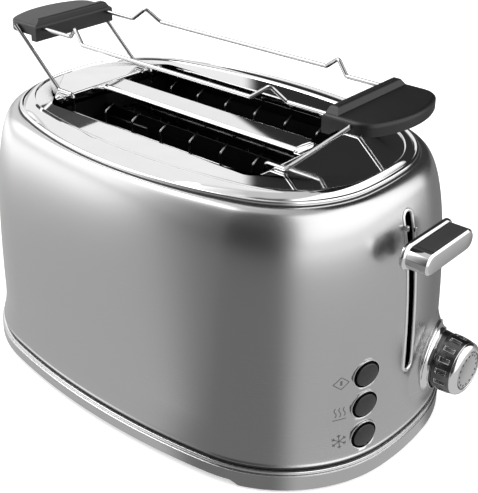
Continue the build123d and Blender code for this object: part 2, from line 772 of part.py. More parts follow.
def dial_barrel():
    core = DIAL_FACE_X - DIAL_FACE_DEPTH
    outline = [
        (DIAL_BACK_X, 0), (DIAL_BACK_X, DIAL_RADIUS - BARREL_SOFT), (DIAL_BACK_X + BARREL_SOFT, DIAL_RADIUS),
        (DIAL_EDGE_X, DIAL_RADIUS), (DIAL_EDGE_X, DIAL_FACE_RADIUS), (core, DIAL_FACE_RADIUS), (core, 0)]
    barrel = turned(outline, 0, DIAL_Y, DIAL_Z)
    middle = (DIAL_BACK_X + DIAL_EDGE_X) / 2
    notch = Pos(middle, 0, DIAL_RADIUS) * Box(NOTCH_LENGTH, NOTCH_WIDTH, 2 * NOTCH_DEPTH)
    for number in range(DIAL_NOTCHES):
        barrel -= Pos(0, DIAL_Y, DIAL_Z) * Rot(360 * number / DIAL_NOTCHES, 0, 0) * notch
    return barrel - dial_shaft()


def dial_end_ring():
    curve = [(DIAL_EDGE_X + along, DIAL_RADIUS - drop) for along, drop in END_RING_CURVE]
    face = [(DIAL_FACE_X, DIAL_FACE_RADIUS + END_RING_LIP), (DIAL_FACE_X, DIAL_FACE_RADIUS)]
    return turned([(DIAL_EDGE_X, DIAL_FACE_RADIUS)] + curve + face, 0, DIAL_Y, DIAL_Z)


def dial_face():
    start = (DIAL_FACE_X - DIAL_FACE_DEPTH, DIAL_Y, DIAL_Z)
    return rod(start, (DIAL_FACE_X - DIAL_FACE_SUNK, DIAL_Y, DIAL_Z), DIAL_FACE_RADIUS)


def dial_shaft():
    left = BOARD_X + BOARD_THICKNESS + POT_DEPTH / 2
    return rod((left, DIAL_Y, DIAL_Z), ((DIAL_BACK_X + DIAL_EDGE_X) / 2, DIAL_Y, DIAL_Z), SHAFT_RADIUS)


# Inner frame, heaters and guide cages

def cage_slots(x):
    """Slots in an end plate that carry the rails of the four cages."""
    cutters = []
    margin = CAGE_WIRE + GAP
    lift = CAGE_SHIFT * LEVER_LIFT / LEVER_DROP
    for z in CAGE_RAIL_ZS:
        outer = CAGE_OUTER_Y + CAGE_RAIL_OFFSET
        inner = CAGE_INNER_Y - CAGE_RAIL_OFFSET
        for low, high in ((outer - CAGE_SHIFT, outer + lift), (inner - lift, inner + CAGE_SHIFT)):
            for side in (1, -1):
                ends = sorted((side * (low - margin), side * (high + margin)))
                cutters.append(block(
                    (x - 2 * FRAME_SHEET, ends[0], z - margin),
                    (x + 2 * FRAME_SHEET, ends[1], z + margin)))
    return cutters


def end_plate(x, inward):
    floor = PAN_FLOOR_Z + PAN_FLOOR
    half = FRAME_HALF_WIDTH
    far = x + inward * FRAME_SHEET
    plate = block((min(x, far), -half, floor), (max(x, far), half, FRAME_TOP_Z))
    plate -= block(
        (x - 5, -TRAY_HALF_WIDTH - 2 * GAP, 0), (x + 5, TRAY_HALF_WIDTH + 2 * GAP, TRAY_TOP_Z + 2 * GAP))
    for side in (1, -1):
        ends = sorted((side * (half - FRAME_FLANGE), side * half))
        reach = sorted((x, x + inward * FRAME_FLANGE))
        flange = block((reach[0], ends[0], floor), (reach[1], ends[1], floor + FRAME_SHEET))
        plate += flange
        y = side * SLOT_Y
        margin = REST_THICKNESS / 2 + GAP
        plate -= block(
            (x - 5, y - margin, REST_TOP_Z - REST_HEIGHT - LEVER_DROP - 2 * GAP),
            (x + 5, y + margin, REST_TOP_Z + LEVER_LIFT + 2 * GAP))
    for cutter in cage_slots(x):
        plate -= cutter
    for hole_x, hole_y in screw_places():
        plate -= Pos(hole_x, hole_y, floor) * Cylinder(SCREW_RADIUS, 4 * FRAME_SHEET)
    return plate


def left_end_plate():
    return end_plate(FRAME_LEFT_X, 1)


def right_end_plate():
    plate = end_plate(FRAME_RIGHT_X, -1)
    half = ROD_Y + 2 * ROD_RADIUS
    right = ROD_X + SLIDER_LENGTH / 2 - 2 * GAP
    bracket = block((FRAME_RIGHT_X - FRAME_SHEET, -half, ROD_TOP_Z - FRAME_SHEET), (right, half, ROD_TOP_Z))
    for side in (1, -1):
        bracket -= Pos(ROD_X, side * ROD_Y, ROD_TOP_Z) * Cylinder(ROD_RADIUS, 4 * FRAME_SHEET)
    return plate + bracket


def reflector(side):
    near = REFLECTOR_Y
    ends = sorted((side * near, side * (near + FRAME_SHEET)))
    return block(
        (FRAME_LEFT_X + FRAME_SHEET, ends[0], REFLECTOR_BOTTOM_Z),
        (FRAME_RIGHT_X - FRAME_SHEET, ends[1], FRAME_TOP_Z))


def heater_card(y):
    return block(
        (FRAME_LEFT_X + FRAME_SHEET, y - MICA / 2, HEATER_BOTTOM_Z),
        (FRAME_RIGHT_X - FRAME_SHEET, y + MICA / 2, HEATER_TOP_Z))


def heater_ribbon(y, side):
    """Rows of flat ribbon across one face of a card, joined at alternate ends."""
    near = y + side * MICA / 2
    ends = sorted((near, near + side * RIBBON_THICKNESS))
    left = FRAME_LEFT_X + RIBBON_MARGIN
    right = FRAME_RIGHT_X - RIBBON_MARGIN
    low = HEATER_BOTTOM_Z + RIBBON_MARGIN
    pitch = (HEATER_TOP_Z - HEATER_BOTTOM_Z - 2 * RIBBON_MARGIN) / (RIBBON_ROWS - 1)
    ribbon = None
    for row in range(RIBBON_ROWS):
        z = low + row * pitch
        bar = block((left, ends[0], z - RIBBON_WIDTH / 2), (right, ends[1], z + RIBBON_WIDTH / 2))
        ribbon = bar if ribbon is None else ribbon + bar
        if row:
            x = right if row % 2 else left
            start = x - RIBBON_WIDTH if row % 2 else x
            ribbon += block((start, ends[0], z - pitch), (start + RIBBON_WIDTH, ends[1], z))
    return ribbon


def centre_heater_ribbons():
    return [heater_ribbon(0, 1), heater_ribbon(0, -1)]


def cage_wire_places():
    left = FRAME_LEFT_X + CAGE_END_GAP
    pitch = (FRAME_RIGHT_X - FRAME_LEFT_X - 2 * CAGE_END_GAP) / (CAGE_COUNT - 1)
    return [left + number * pitch for number in range(CAGE_COUNT)]


def guide_cage(y, inward):
    """Upright wires bent away from the bread at the top, on two rails behind them. inward is its side."""
    cage = None
    for x in cage_wire_places():
        hook_y = y - inward * CAGE_HOOK
        path = [(x, y, CAGE_BOTTOM_Z), (x, y, CAGE_TOP_Z), (x, hook_y, CAGE_TOP_Z + CAGE_HOOK_RISE)]
        wire = wire_run(path, CAGE_WIRE, CAGE_BEND)
        cage = wire if cage is None else cage + wire
    rail_y = y - inward * CAGE_RAIL_OFFSET
    for z in CAGE_RAIL_ZS:
        left = (FRAME_LEFT_X - 2 * CAGE_WIRE, rail_y, z)
        right = (FRAME_RIGHT_X + 2 * CAGE_WIRE, rail_y, z)
        cage += rod(left, right, CAGE_WIRE)
    return cage


# Carriage

def bread_rest(y):
    half = REST_THICKNESS / 2
    left = FRAME_LEFT_X - 2 * REST_THICKNESS
    right = ROD_X - SLIDER_LENGTH / 2
    rest = block((left, y - half, REST_TOP_Z - REST_HEIGHT), (right, y + half, REST_TOP_Z))
    wires = cage_wire_places()
    for before, after in zip(wires[:REST_TABS], wires[1:]):
        x = (before + after) / 2
        rest += block(
            (x - REST_TAB_WIDTH / 2, y - REST_TAB_HALF, REST_TOP_Z - REST_TAB_THICKNESS),
            (x + REST_TAB_WIDTH / 2, y + REST_TAB_HALF, REST_TOP_Z))
    return rest


def carriage_slider():
    left = ROD_X - SLIDER_LENGTH / 2
    right = ROD_X + SLIDER_LENGTH / 2
    half = SLIDER_WIDTH / 2
    slider = block((left, -half, SLIDER_BOTTOM_Z), (right, half, SLIDER_TOP_Z))
    slider += block(
        (right, -RISER_WIDTH / 2, SLIDER_BOTTOM_Z),
        (right + RISER_THICKNESS, RISER_WIDTH / 2, ARM_Z + ARM_HEIGHT / 2))
    for side in (1, -1):
        slider -= Pos(ROD_X, side * ROD_Y, SLIDER_TOP_Z) * Cylinder(ROD_RADIUS + FIT, 4 * SLIDER_LENGTH)
    return slider


def guide_rods():
    floor = PAN_FLOOR_Z + PAN_FLOOR
    return [rod((ROD_X, y, floor), (ROD_X, y, ROD_TOP_Z), ROD_RADIUS) for y in (-ROD_Y, ROD_Y)]


def return_spring():
    length = ROD_TOP_Z - FRAME_SHEET - SLIDER_TOP_Z
    tube = Cylinder(SPRING_RADIUS, length) - Cylinder(SPRING_RADIUS - SPRING_WALL, length)
    return Pos(ROD_X, 0, SLIDER_TOP_Z + length / 2) * tube


def latch_keeper():
    left = ROD_X + SLIDER_LENGTH / 2 + RISER_THICKNESS
    depth, width, height = KEEPER_SIZE
    return block((left, -width / 2, KEEPER_Z), (left + depth, width / 2, KEEPER_Z + height))


def magnet_top():
    return KEEPER_Z - LEVER_DROP - GAP


def magnet_leg(low_y, high_y):
    left = ROD_X + SLIDER_LENGTH / 2 + RISER_THICKNESS + 1
    return block((left, low_y, PAN_FLOOR_Z + PAN_FLOOR), (left + KEEPER_SIZE[0] - 2, high_y, magnet_top()))


def magnet_core():
    leg = KEEPER_SIZE[1] / 6
    half = KEEPER_SIZE[1] / 2
    floor = PAN_FLOOR_Z + PAN_FLOOR
    core = magnet_leg(-half, -half + leg) + magnet_leg(half - leg, half) + magnet_leg(-leg / 2, leg / 2)
    left = ROD_X + SLIDER_LENGTH / 2 + RISER_THICKNESS + 1
    return core + block((left, -half, floor), (left + KEEPER_SIZE[0] - 2, half, floor + leg))


def magnet_coil():
    leg = KEEPER_SIZE[1] / 6
    half = KEEPER_SIZE[1] / 2
    floor = PAN_FLOOR_Z + PAN_FLOOR
    left = ROD_X + SLIDER_LENGTH / 2 + RISER_THICKNESS + 1
    coil = block(
        (left - 1, -half + leg + GAP, floor + leg),
        (left + KEEPER_SIZE[0] - 1, half - leg - GAP, magnet_top() - leg))
    return coil - magnet_leg(-leg / 2, leg / 2)


# Control board

def control_board():
    right = BOARD_X + BOARD_THICKNESS
    board = block((BOARD_X, BOARD_LEFT_Y, BOARD_BOTTOM_Z), (right, BOARD_RIGHT_Y, BOARD_BRIDGE_Z))
    return board + block((BOARD_X, BOARD_LEFT_Y, BOARD_BRIDGE_Z), (right, BOARD_WING_Y, BOARD_WING_Z))


def board_posts():
    posts = []
    slot = control_board()
    for y in POST_Y:
        post = block(
            (BOARD_X - BOARD_THICKNESS, y - POST_WIDTH / 2, PAN_FLOOR_Z + PAN_FLOOR),
            (BOARD_X + 3 * BOARD_THICKNESS, y + POST_WIDTH / 2, POST_TOP_Z))
        posts.append(post - slot)
    return posts


def button_switches():
    left = BOARD_X + BOARD_THICKNESS
    tilt = BUTTON_Y / inset(CASING, TAPER)[3]
    half = SWITCH_SIZE / 2
    switches = []
    for z in BUTTON_ZS.values():
        y = BUTTON_Y - (wall_x(BUTTON_Y, z) - left - SWITCH_DEPTH) * tilt
        body = block((left, y - half, z - half), (left + 0.7 * SWITCH_DEPTH, y + half, z + half))
        switches.append(body + rod((left, y, z), (left + SWITCH_DEPTH, y, z), 0.3 * SWITCH_SIZE))
    return switches


def dial_potentiometer():
    left = BOARD_X + BOARD_THICKNESS
    half = POT_SIZE / 2
    body = block((left, DIAL_Y - half, DIAL_Z - half), (left + POT_DEPTH, DIAL_Y + half, DIAL_Z + half))
    bore = rod((left + POT_DEPTH / 2, DIAL_Y, DIAL_Z), (DIAL_FACE_X, DIAL_Y, DIAL_Z), SHAFT_RADIUS + FIT)
    return body - bore


# Bun rack

def rack_rest_z():
    return PANEL_Z + RACK_WIRE + GAP


def rack_leg(end, side):
    """From its tip in the slot, out along the plate, then up to the side of the handle."""
    z = rack_rest_z()
    first = RACK_FOOT_X
    second = first + RACK_FOOT_OUT
    third = second + RACK_LEG_OUT
    path = [
        (RACK_CENTRE_X + end * first, side * RACK_FOOT_Y, z - RACK_FOOT_DOWN),
        (RACK_CENTRE_X + end * first, side * RACK_FOOT_Y, z),
        (RACK_CENTRE_X + end * second, side * RACK_FOOT_Y, z),
        (RACK_CENTRE_X + end * third, side * RACK_FOOT_Y, z + RACK_LEG_UP)]
    return wire_run(path, RACK_WIRE, RACK_BEND)


def rack_rail(side):
    half_path = [
        (HANDLE_INNER_X + RAIL_GRIP, RAIL_END_Y, RAIL_Z),
        (RAIL_KINK_OUTER_X, RAIL_END_Y, RAIL_Z),
        (RAIL_PEAK_X, (RAIL_END_Y + RAIL_MIDDLE_Y) / 2, RAIL_Z + RAIL_PEAK_UP),
        (RAIL_KINK_INNER_X, RAIL_MIDDLE_Y, RAIL_Z)]
    right = [(RACK_CENTRE_X + x, side * y, z) for x, y, z in half_path]
    left = [(RACK_CENTRE_X - x, side * y, z) for x, y, z in reversed(half_path)]
    return wire_run(right + left, RACK_WIRE, RACK_BEND)


def handle_outline():
    half = RACK_FOOT_Y - RACK_WIRE
    slab = Rectangle(HANDLE_OUTER_X - HANDLE_INNER_X, 2 * half)
    slab = Pos((HANDLE_OUTER_X + HANDLE_INNER_X) / 2, 0) * slab
    outline = slab & (Pos(HANDLE_OUTER_X - HANDLE_EDGE_RADIUS, 0) * Circle(HANDLE_EDGE_RADIUS))
    return fillet(outline.vertices().group_by(Axis.X)[-1], HANDLE_CORNER)


def handle_ridge():
    """The raised bar along the inner edge. Its inner face leans and its ends slope down to the wing."""
    half = RACK_FOOT_Y - RACK_WIRE
    outer = HANDLE_INNER_X + RIDGE_WIDTH
    across = Polyline(
        (HANDLE_INNER_X, RIDGE_BOTTOM_Z), (HANDLE_INNER_X, HANDLE_BOTTOM_Z),
        (HANDLE_INNER_X + RIDGE_LEAN, RIDGE_TOP_Z), (outer - 2 * RIDGE_LEAN, RIDGE_TOP_Z),
        (outer, HANDLE_TOP_Z - HANDLE_SOFT), (outer, HANDLE_BOTTOM_Z),
        (HANDLE_INNER_X + RIDGE_WIDTH / 2, HANDLE_BOTTOM_Z),
        (HANDLE_INNER_X + RIDGE_WIDTH / 2, RIDGE_BOTTOM_Z), close=True)
    along = Polyline(
        (-half, RIDGE_BOTTOM_Z), (half, RIDGE_BOTTOM_Z), (half, HANDLE_TOP_Z - HANDLE_SOFT),
        (half - RIDGE_END_SLOPE, RIDGE_TOP_Z), (RIDGE_END_SLOPE - half, RIDGE_TOP_Z),
        (-half, HANDLE_TOP_Z - HANDLE_SOFT), close=True)
    ridge = extrude(Plane.XZ * make_face(across), half, both=True)
    ridge &= Pos(outer, 0, 0) * extrude(Plane.YZ * make_face(along), RIDGE_WIDTH, both=True)
    return fillet(ridge.edges().group_by(Axis.Z)[-1], RIDGE_SOFT)


def rack_handle(end):
    outline = handle_outline()
    wing = Pos(0, 0, HANDLE_BOTTOM_Z) * extrude(outline, HANDLE_TOP_Z - HANDLE_BOTTOM_Z)
    wing = fillet(wing.edges().group_by(Axis.Z)[-1], HANDLE_SOFT)
    handle = wing + handle_ridge()
    if end < 0:
        handle = mirror(handle, Plane.YZ)
    handle = Pos(RACK_CENTRE_X, 0, 0) * handle
    return handle - rack_rail(1) - rack_rail(-1)


def build():
    parts = {
        "outer_casing": outer_casing(),
        "top_plate": top_plate(),
        "centre_strip": centre_strip(),
        "base_pan": base_pan(),
        "base_band": base_band(),
        "base_trim_ring": base_trim_ring(),
        "rubber_feet": rubber_feet(),
        "base_screws": base_screws(),
        "cord_grommet": cord_grommet(),
        "crumb_tray": crumb_tray(),
        "lever_slot_trim": lever_slot_trim(),
        "lever_paddle": lever_paddle(),
        "lever_inlay": lever_inlay(),
        "lever_back_plate": lever_back_plate(),
        "lever_arm": lever_arm(),
        "button_rims": button_rims(),
        "dial_bezel": dial_bezel(),
        "dial_barrel": dial_barrel(),
        "dial_end_ring": dial_end_ring(),
        "dial_face": dial_face(),
        "dial_shaft": dial_shaft(),
        "left_end_plate": left_end_plate(),
        "right_end_plate": right_end_plate(),
        "front_reflector": reflector(-1),
        "back_reflector": reflector(1),
        "front_heater_card": heater_card(-HEATER_Y),
        "centre_heater_card": heater_card(0),
        "back_heater_card": heater_card(HEATER_Y),
        "front_heater_ribbon": heater_ribbon(-HEATER_Y, 1),
        "centre_heater_ribbons": centre_heater_ribbons(),
        "back_heater_ribbon": heater_ribbon(HEATER_Y, -1),
        "front_outer_cage": guide_cage(-CAGE_OUTER_Y, 1),
        "front_inner_cage": guide_cage(-CAGE_INNER_Y, -1),
        "back_inner_cage": guide_cage(CAGE_INNER_Y, 1),
        "back_outer_cage": guide_cage(CAGE_OUTER_Y, -1),
        "front_bread_rest": bread_rest(-SLOT_Y),
        "back_bread_rest": bread_rest(SLOT_Y),
        "carriage_slider": carriage_slider(),
        "guide_rods": guide_rods(),
        "return_spring": return_spring(),
        "latch_keeper": latch_keeper(),
        "magnet_core": magnet_core(),
        "magnet_coil": magnet_coil(),
        "control_board": control_board(),
        "board_posts": board_posts(),
        "button_switches": button_switches(),
        "dial_potentiometer": dial_potentiometer(),
        "rack_front_rail": rack_rail(-1),
        "rack_back_rail": rack_rail(1),
        "rack_left_handle": rack_handle(-1),
        "rack_right_handle": rack_handle(1),
    }
    for name, z in BUTTON_ZS.items():
        parts[name] = push_button(z)
    for end_name, end in (("left", -1), ("right", 1)):
        for side_name, side in (("front", -1), ("back", 1)):
            parts[f"rack_{end_name}_{side_name}_leg"] = rack_leg(end, side)
    return parts


def write(parts):
    os.makedirs("parts", exist_ok=True)
    for name, shape in parts.items():
        solids = shape if isinstance(shape, list) else [shape]
        moved = [Pos(-ORIGIN_X, 0, 0) * solid for solid in solids]
        whole = moved[0] if len(moved) == 1 else Compound(children=moved)
        export_step(whole, f"parts/{name}.step")


write(build())
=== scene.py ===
import json
from math import atan2, cos, hypot, pi, radians, sin, sqrt

import bpy
from mathutils import Matrix, Vector


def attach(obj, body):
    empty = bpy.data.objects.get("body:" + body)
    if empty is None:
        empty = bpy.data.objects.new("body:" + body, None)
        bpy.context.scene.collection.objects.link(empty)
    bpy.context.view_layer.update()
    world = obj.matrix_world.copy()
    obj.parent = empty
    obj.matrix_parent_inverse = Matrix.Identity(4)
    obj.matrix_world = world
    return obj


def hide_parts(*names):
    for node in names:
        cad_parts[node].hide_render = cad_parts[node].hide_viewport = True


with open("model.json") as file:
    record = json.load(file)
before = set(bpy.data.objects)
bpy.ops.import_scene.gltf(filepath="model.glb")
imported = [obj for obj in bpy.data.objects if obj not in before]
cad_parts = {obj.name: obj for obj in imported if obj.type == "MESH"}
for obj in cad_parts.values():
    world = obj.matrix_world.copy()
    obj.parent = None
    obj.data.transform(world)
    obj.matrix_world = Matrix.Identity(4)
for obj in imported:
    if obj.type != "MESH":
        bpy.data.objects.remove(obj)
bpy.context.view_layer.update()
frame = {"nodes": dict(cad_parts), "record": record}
bpy.ops.object.select_all(action="DESELECT")


# Camera
# It stands at the photo's viewing angle: a long lens a little above the rack, looking down on the near
# corner between the long side and the control end.
CAMERA_PLACE = (0.36356, -0.41000, 0.38235)
CAMERA_AZIMUTH = 41.84
CAMERA_ELEVATION = 26.73
CAMERA_LENS, SENSOR_WIDTH = 73.02, 36
CAMERA_SHIFT = (0.0489, -0.0790)
NEAREST_SEEN = 0.01

camera_data = bpy.data.cameras.new("photo_camera")
camera_data.lens = CAMERA_LENS
camera_data.sensor_fit = "AUTO"
camera_data.sensor_width = SENSOR_WIDTH
camera_data.shift_x, camera_data.shift_y = CAMERA_SHIFT
camera_data.clip_start = NEAREST_SEEN
camera = bpy.data.objects.new("photo_camera", camera_data)
bpy.context.collection.objects.link(camera)
camera.location = CAMERA_PLACE
camera.rotation_euler = (radians(90 - CAMERA_ELEVATION), 0, radians(CAMERA_AZIMUTH))
bpy.context.scene.camera = camera
bpy.context.scene.view_settings.view_transform = "Standard"


# Studio
# A white sweep of paper under and behind the toaster, in a pale room with two bright soft boxes and a patch of
# lit wall. A dark gap in front of the near corner and a dark card behind the rack show in the polished steel.
class Value:
    """One output of a shader node. Arithmetic on it adds the Math nodes."""

    def __init__(self, finish, socket):
        self.finish = finish
        self.socket = socket

    def math(self, operation, first, second):
        return self.finish.node("ShaderNodeMath", {"operation": operation}, {0: first, 1: second})

    def __add__(self, other):
        return self.math("ADD", self, other)

    def __radd__(self, other):
        return self.math("ADD", other, self)

    def __sub__(self, other):
        return self.math("SUBTRACT", self, other)

    def __rsub__(self, other):
        return self.math("SUBTRACT", other, self)

    def __mul__(self, other):
        return self.math("MULTIPLY", self, other)

    def __rmul__(self, other):
        return self.math("MULTIPLY", other, self)

    def __truediv__(self, other):
        return self.math("DIVIDE", self, other)

    def __pow__(self, other):
        return self.math("POWER", self, other)

    def __gt__(self, other):
        return self.math("GREATER_THAN", self, other)

    def step(self, low, high):
        """0 below low, 1 above high and smooth between."""
        settings = {"interpolation_type": "SMOOTHSTEP"}
        return self.finish.node("ShaderNodeMapRange", settings, {0: self, 1: low, 2: high, 3: 0.0, 4: 1.0})


class Finish:
    """A material or a world while it is made. node() adds a node, and surface() fills the shader's sockets."""

    def __init__(self, name, world=False):
        self.data = (bpy.data.worlds if world else bpy.data.materials).new(name)
        self.data.use_nodes = True
        self.tree = self.data.node_tree
        self.shader = self.tree.nodes["Background" if world else "Principled BSDF"]

    def fill(self, socket, value):
        if isinstance(value, Value):
            self.tree.links.new(value.socket, socket)
        else:
            socket.default_value = value

    def node(self, kind, settings=None, sockets=None, output=0):
        node = self.tree.nodes.new(kind)
        for name, value in (settings or {}).items():
            setattr(node, name, value)
        for name, value in (sockets or {}).items():
            self.fill(node.inputs[name], value)
        return Value(self, node.outputs[output])

    def place(self):
        """Object coordinates, which are the metres of the room on every finished piece."""
        return self.node("ShaderNodeTexCoord", output=3)

    def axes(self, vector):
        """The vector's three numbers."""
        split = self.node("ShaderNodeSeparateXYZ", None, {0: vector})
        return [Value(self, socket) for socket in split.socket.node.outputs]

    def stretched(self, scale):
        """Object coordinates scaled along the three axes."""
        return self.node("ShaderNodeMapping", None, {"Vector": self.place(), "Scale": scale})

    def noise(self, vector, scale, detail=2.0):
        return self.node("ShaderNodeTexNoise", None, {"Vector": vector, "Scale": scale, "Detail": detail})

    def mix(self, factor, first, second):
        sockets = {"Factor": factor, 6: first, 7: second}
        return self.node("ShaderNodeMix", {"data_type": "RGBA"}, sockets, 2)

    def bump(self, height, strength, distance):
        sockets = {"Height": height, "Strength": strength, "Distance": distance}
        return self.node("ShaderNodeBump", None, sockets)

    def surface(self, **values):
        for name, value in values.items():
            self.fill(self.shader.inputs[name.replace("_", " ")], value)
        return self.data


def grey(level):
    return (level, level, level, 1.0)


def toward(x, y, azimuth, half_width, soft):
    """1 where the floor direction (x, y) is within half_width degrees of the azimuth."""
    length = (x * x + y * y) ** 0.5
    facing = (x * cos(radians(azimuth)) + y * sin(radians(azimuth))) / length
    return facing.step(cos(radians(half_width + soft)), cos(radians(half_width - soft)))


def covered(light, mask, level):
    """The light with what lies under the mask brought to another level."""
    return light * (1 - mask) + mask * level


# Boxes, sky, gap, card and glows are each an azimuth, a half width and a softness, in degrees. A foot, top or
# fade is the two heights between which they change, where 0 is level and 1 is overhead.
ROOM_LIGHT = 0.62
LEFT_BOX, RIGHT_BOX, BOX_LIGHT = (-152, 30, 6), (14, 50, 6), 1.8
BOX_FOOT, BOX_TOP = (-0.05, 0.1), (0.85, 0.95)
SKY, SKY_FOOT, SKY_LIGHT = (151, 22, 1), (0.1, 0.2), 0.98
GAP, GAP_TOP = (-76, 31, 12), (0.93, 0.98)
GAP_LOW_LIGHT, GAP_HIGH_LIGHT, GAP_FADE = 0.05, 0.09, (0.15, 0.5)
CARD, CARD_TOP, CARD_LIGHT = (99.7, 30, 0.5), (0.7, 0.85), 0.03

room = Finish("studio_room", world=True)
across, along, up = room.axes(room.node("ShaderNodeTexCoord", output=0))
under_top = 1 - up.step(*BOX_TOP)
boxes = (toward(across, along, *LEFT_BOX) + toward(across, along, *RIGHT_BOX)) * up.step(*BOX_FOOT) * under_top
sky = toward(across, along, *SKY) * up.step(*SKY_FOOT) * under_top
gap = toward(across, along, *GAP) * (1 - up.step(*GAP_TOP))
gap_light = GAP_LOW_LIGHT + up.step(*GAP_FADE) * (GAP_HIGH_LIGHT - GAP_LOW_LIGHT)
card = toward(across, along, *CARD) * (1 - up.step(*CARD_TOP))
light = covered(ROOM_LIGHT + boxes * (BOX_LIGHT - ROOM_LIGHT), sky, SKY_LIGHT)
light = covered(covered(light, gap, gap_light), card, CARD_LIGHT)
seen = room.node("ShaderNodeLightPath", output="Is Camera Ray")
lit = room.node("ShaderNodeCombineColor", None, {0: light, 1: light, 2: light})
room.surface(Strength=1.0, Color=room.mix(seen, lit, grey(1.0)))
bpy.context.scene.world = room.data

# The floor's sizes and places are in metres. Its fades are distances from the middle instead of heights.
FLOOR_HALF, FLOOR_DROP = 3.0, 0.0002
FLOOR_SHOWN, FLOOR_GLOSS = 0.5, 0.60
FLOOR_GAP_PLACE, FLOOR_GAP, FLOOR_GAP_GLOSS = (0.0823, -0.0435), (-80, 35, 11), 0.23
FLOOR_SHADE_PLACE, FLOOR_SHADE, FLOOR_SHADE_GLOSS = (0.13, 0.0), (CARD[0], 36, 10), 0.25
LEFT_GLOW, LEFT_FADE = (-158, 34, 12), (0.36, 0.95)
RIGHT_GLOW, RIGHT_FADE = (6, 48, 10), (0.5, 2.0)
bpy.ops.mesh.primitive_plane_add(size=2 * FLOOR_HALF, location=(0, 0, -FLOOR_DROP))
floor = bpy.context.object
floor.name = "studio_floor"
bpy.ops.object.transform_apply(location=True)
paper = Finish("studio_paper")
paper.surface(Base_Color=grey(0.9), Roughness=0.9)
floor_x, floor_y, _ = paper.axes(paper.place())
# Only glossy rays see this: the paper glows with painted light, brighter in painted glows to the left and
# right, and darker in a painted dark wedge where the gap is reflected and in a painted shade wedge behind the
# rack.
floor_painted_gap = toward(floor_x - FLOOR_GAP_PLACE[0], floor_y - FLOOR_GAP_PLACE[1], *FLOOR_GAP)
floor_painted_shade = toward(floor_x - FLOOR_SHADE_PLACE[0], floor_y - FLOOR_SHADE_PLACE[1], *FLOOR_SHADE)
distance = (floor_x * floor_x + floor_y * floor_y) ** 0.5
left_glow = toward(floor_x, floor_y, *LEFT_GLOW) * distance.step(*LEFT_FADE)
right_glow = toward(floor_x, floor_y, *RIGHT_GLOW) * distance.step(*RIGHT_FADE)
camera_sees = paper.node("ShaderNodeLightPath", output="Is Camera Ray")
metal_sees = paper.node("ShaderNodeLightPath", output="Is Glossy Ray")
shown = paper.node("ShaderNodeEmission", None, {"Strength": camera_sees * FLOOR_SHOWN})
gloss_light = (left_glow + right_glow) * (BOX_LIGHT - FLOOR_GLOSS) + FLOOR_GLOSS
painted_gap_gloss = FLOOR_GAP_GLOSS - distance.step(*RIGHT_FADE) * (FLOOR_GAP_GLOSS - GAP_LOW_LIGHT)
gloss_light = covered(covered(gloss_light, floor_painted_gap, painted_gap_gloss), floor_painted_shade, FLOOR_SHADE_GLOSS)
mirrored = paper.node("ShaderNodeEmission", None, {"Strength": gloss_light})
paper_shader = Value(paper, paper.shader.outputs[0])
lit_paper = paper.node("ShaderNodeAddShader", None, {0: paper_shader, 1: shown})
paper_look = paper.node("ShaderNodeMixShader", None, {0: metal_sees, 1: lit_paper, 2: mirrored})
paper.fill(paper.tree.nodes["Material Output"].inputs[0], paper_look)
floor.data.materials.append(paper.data)


def soft_lamp(name, place, target, size, power):
    """A square lamp at its place, turned to the target."""
    data = bpy.data.lights.new(name, "AREA")
    data.shape = "SQUARE"
    data.size = size
    data.energy = power
    lamp = bpy.data.objects.new(name, data)
    bpy.context.collection.objects.link(lamp)
    lamp.location = place
    lamp.rotation_euler = (Vector(target) - Vector(place)).to_track_quat("-Z", "Y").to_euler()


soft_lamp("key_lamp", place=(-0.9, -0.5, 1.4), target=(0, 0, 0.1), size=0.9, power=8)


# Casing
# The steel pressing round the body: drawn in a little above its foot, rolled over at the shoulder and turned
# down at the rim. It is brushed stainless steel, hemmed at the foot and pierced for the lever and buttons.
MM = 0.001
CENTRE_X = -8.1
# An oval is a half length, a half width and the radii of its side, end and corner arcs, in mm.
CASING = (150.0, 100.7, 443.0, 176.0, 82.0)
RIM = (127.2, 85.0, 259.0, 216.0, 61.5)
FOOT_Z, DRAWN_Z, RIM_Z = 15.4, 36.4, 161.0
DRAWN_IN, DRAWN_STEPS = 2.75, 12
SHOULDER_POWER, SHOULDER_STEPS = 2.33, 64
SHEET = 0.8
END_STEPS, CORNER_STEPS, SIDE_STEPS = 56, 44, 20
SMOOTH_ANGLE = radians(35)


def drawn(oval, distance):
    """An oval drawn in by the distance all round."""
    return tuple(size - distance for size in oval)


def blend(first, second, share):
    """The values a share of the way from the first to the second."""
    return tuple(a * (1 - share) + b * share for a, b in zip(first, second))


def whole_ring(quarter, height):
    """The quarter ring of (x, y) points mirrored into a whole one, in metres."""
    half = quarter + [(-x, y) for x, y in reversed(quarter[:-1])]
    ring = half + [(-x, -y) for x, y in half[1:-1]]
    return [Vector((x + CENTRE_X, y, height)) * MM for x, y in ring]


def arc_centres(oval):
    """Where an oval's end arc, side arc and corner arc are centred, as x, y, x and y."""
    half_length, half_width, side, end, corner = oval
    side_y = half_width - side
    end_x = half_length - end
    span = hypot(end_x, side_y)
    reach = (span ** 2 + (side - corner) ** 2 - (end - corner) ** 2) / (2 * span)
    rise = sqrt(max((side - corner) ** 2 - reach ** 2, 0.0))
    corner_x = (end_x * reach - side_y * rise) / span
    corner_y = side_y + (-side_y * reach - end_x * rise) / span
    return end_x, side_y, corner_x, corner_y


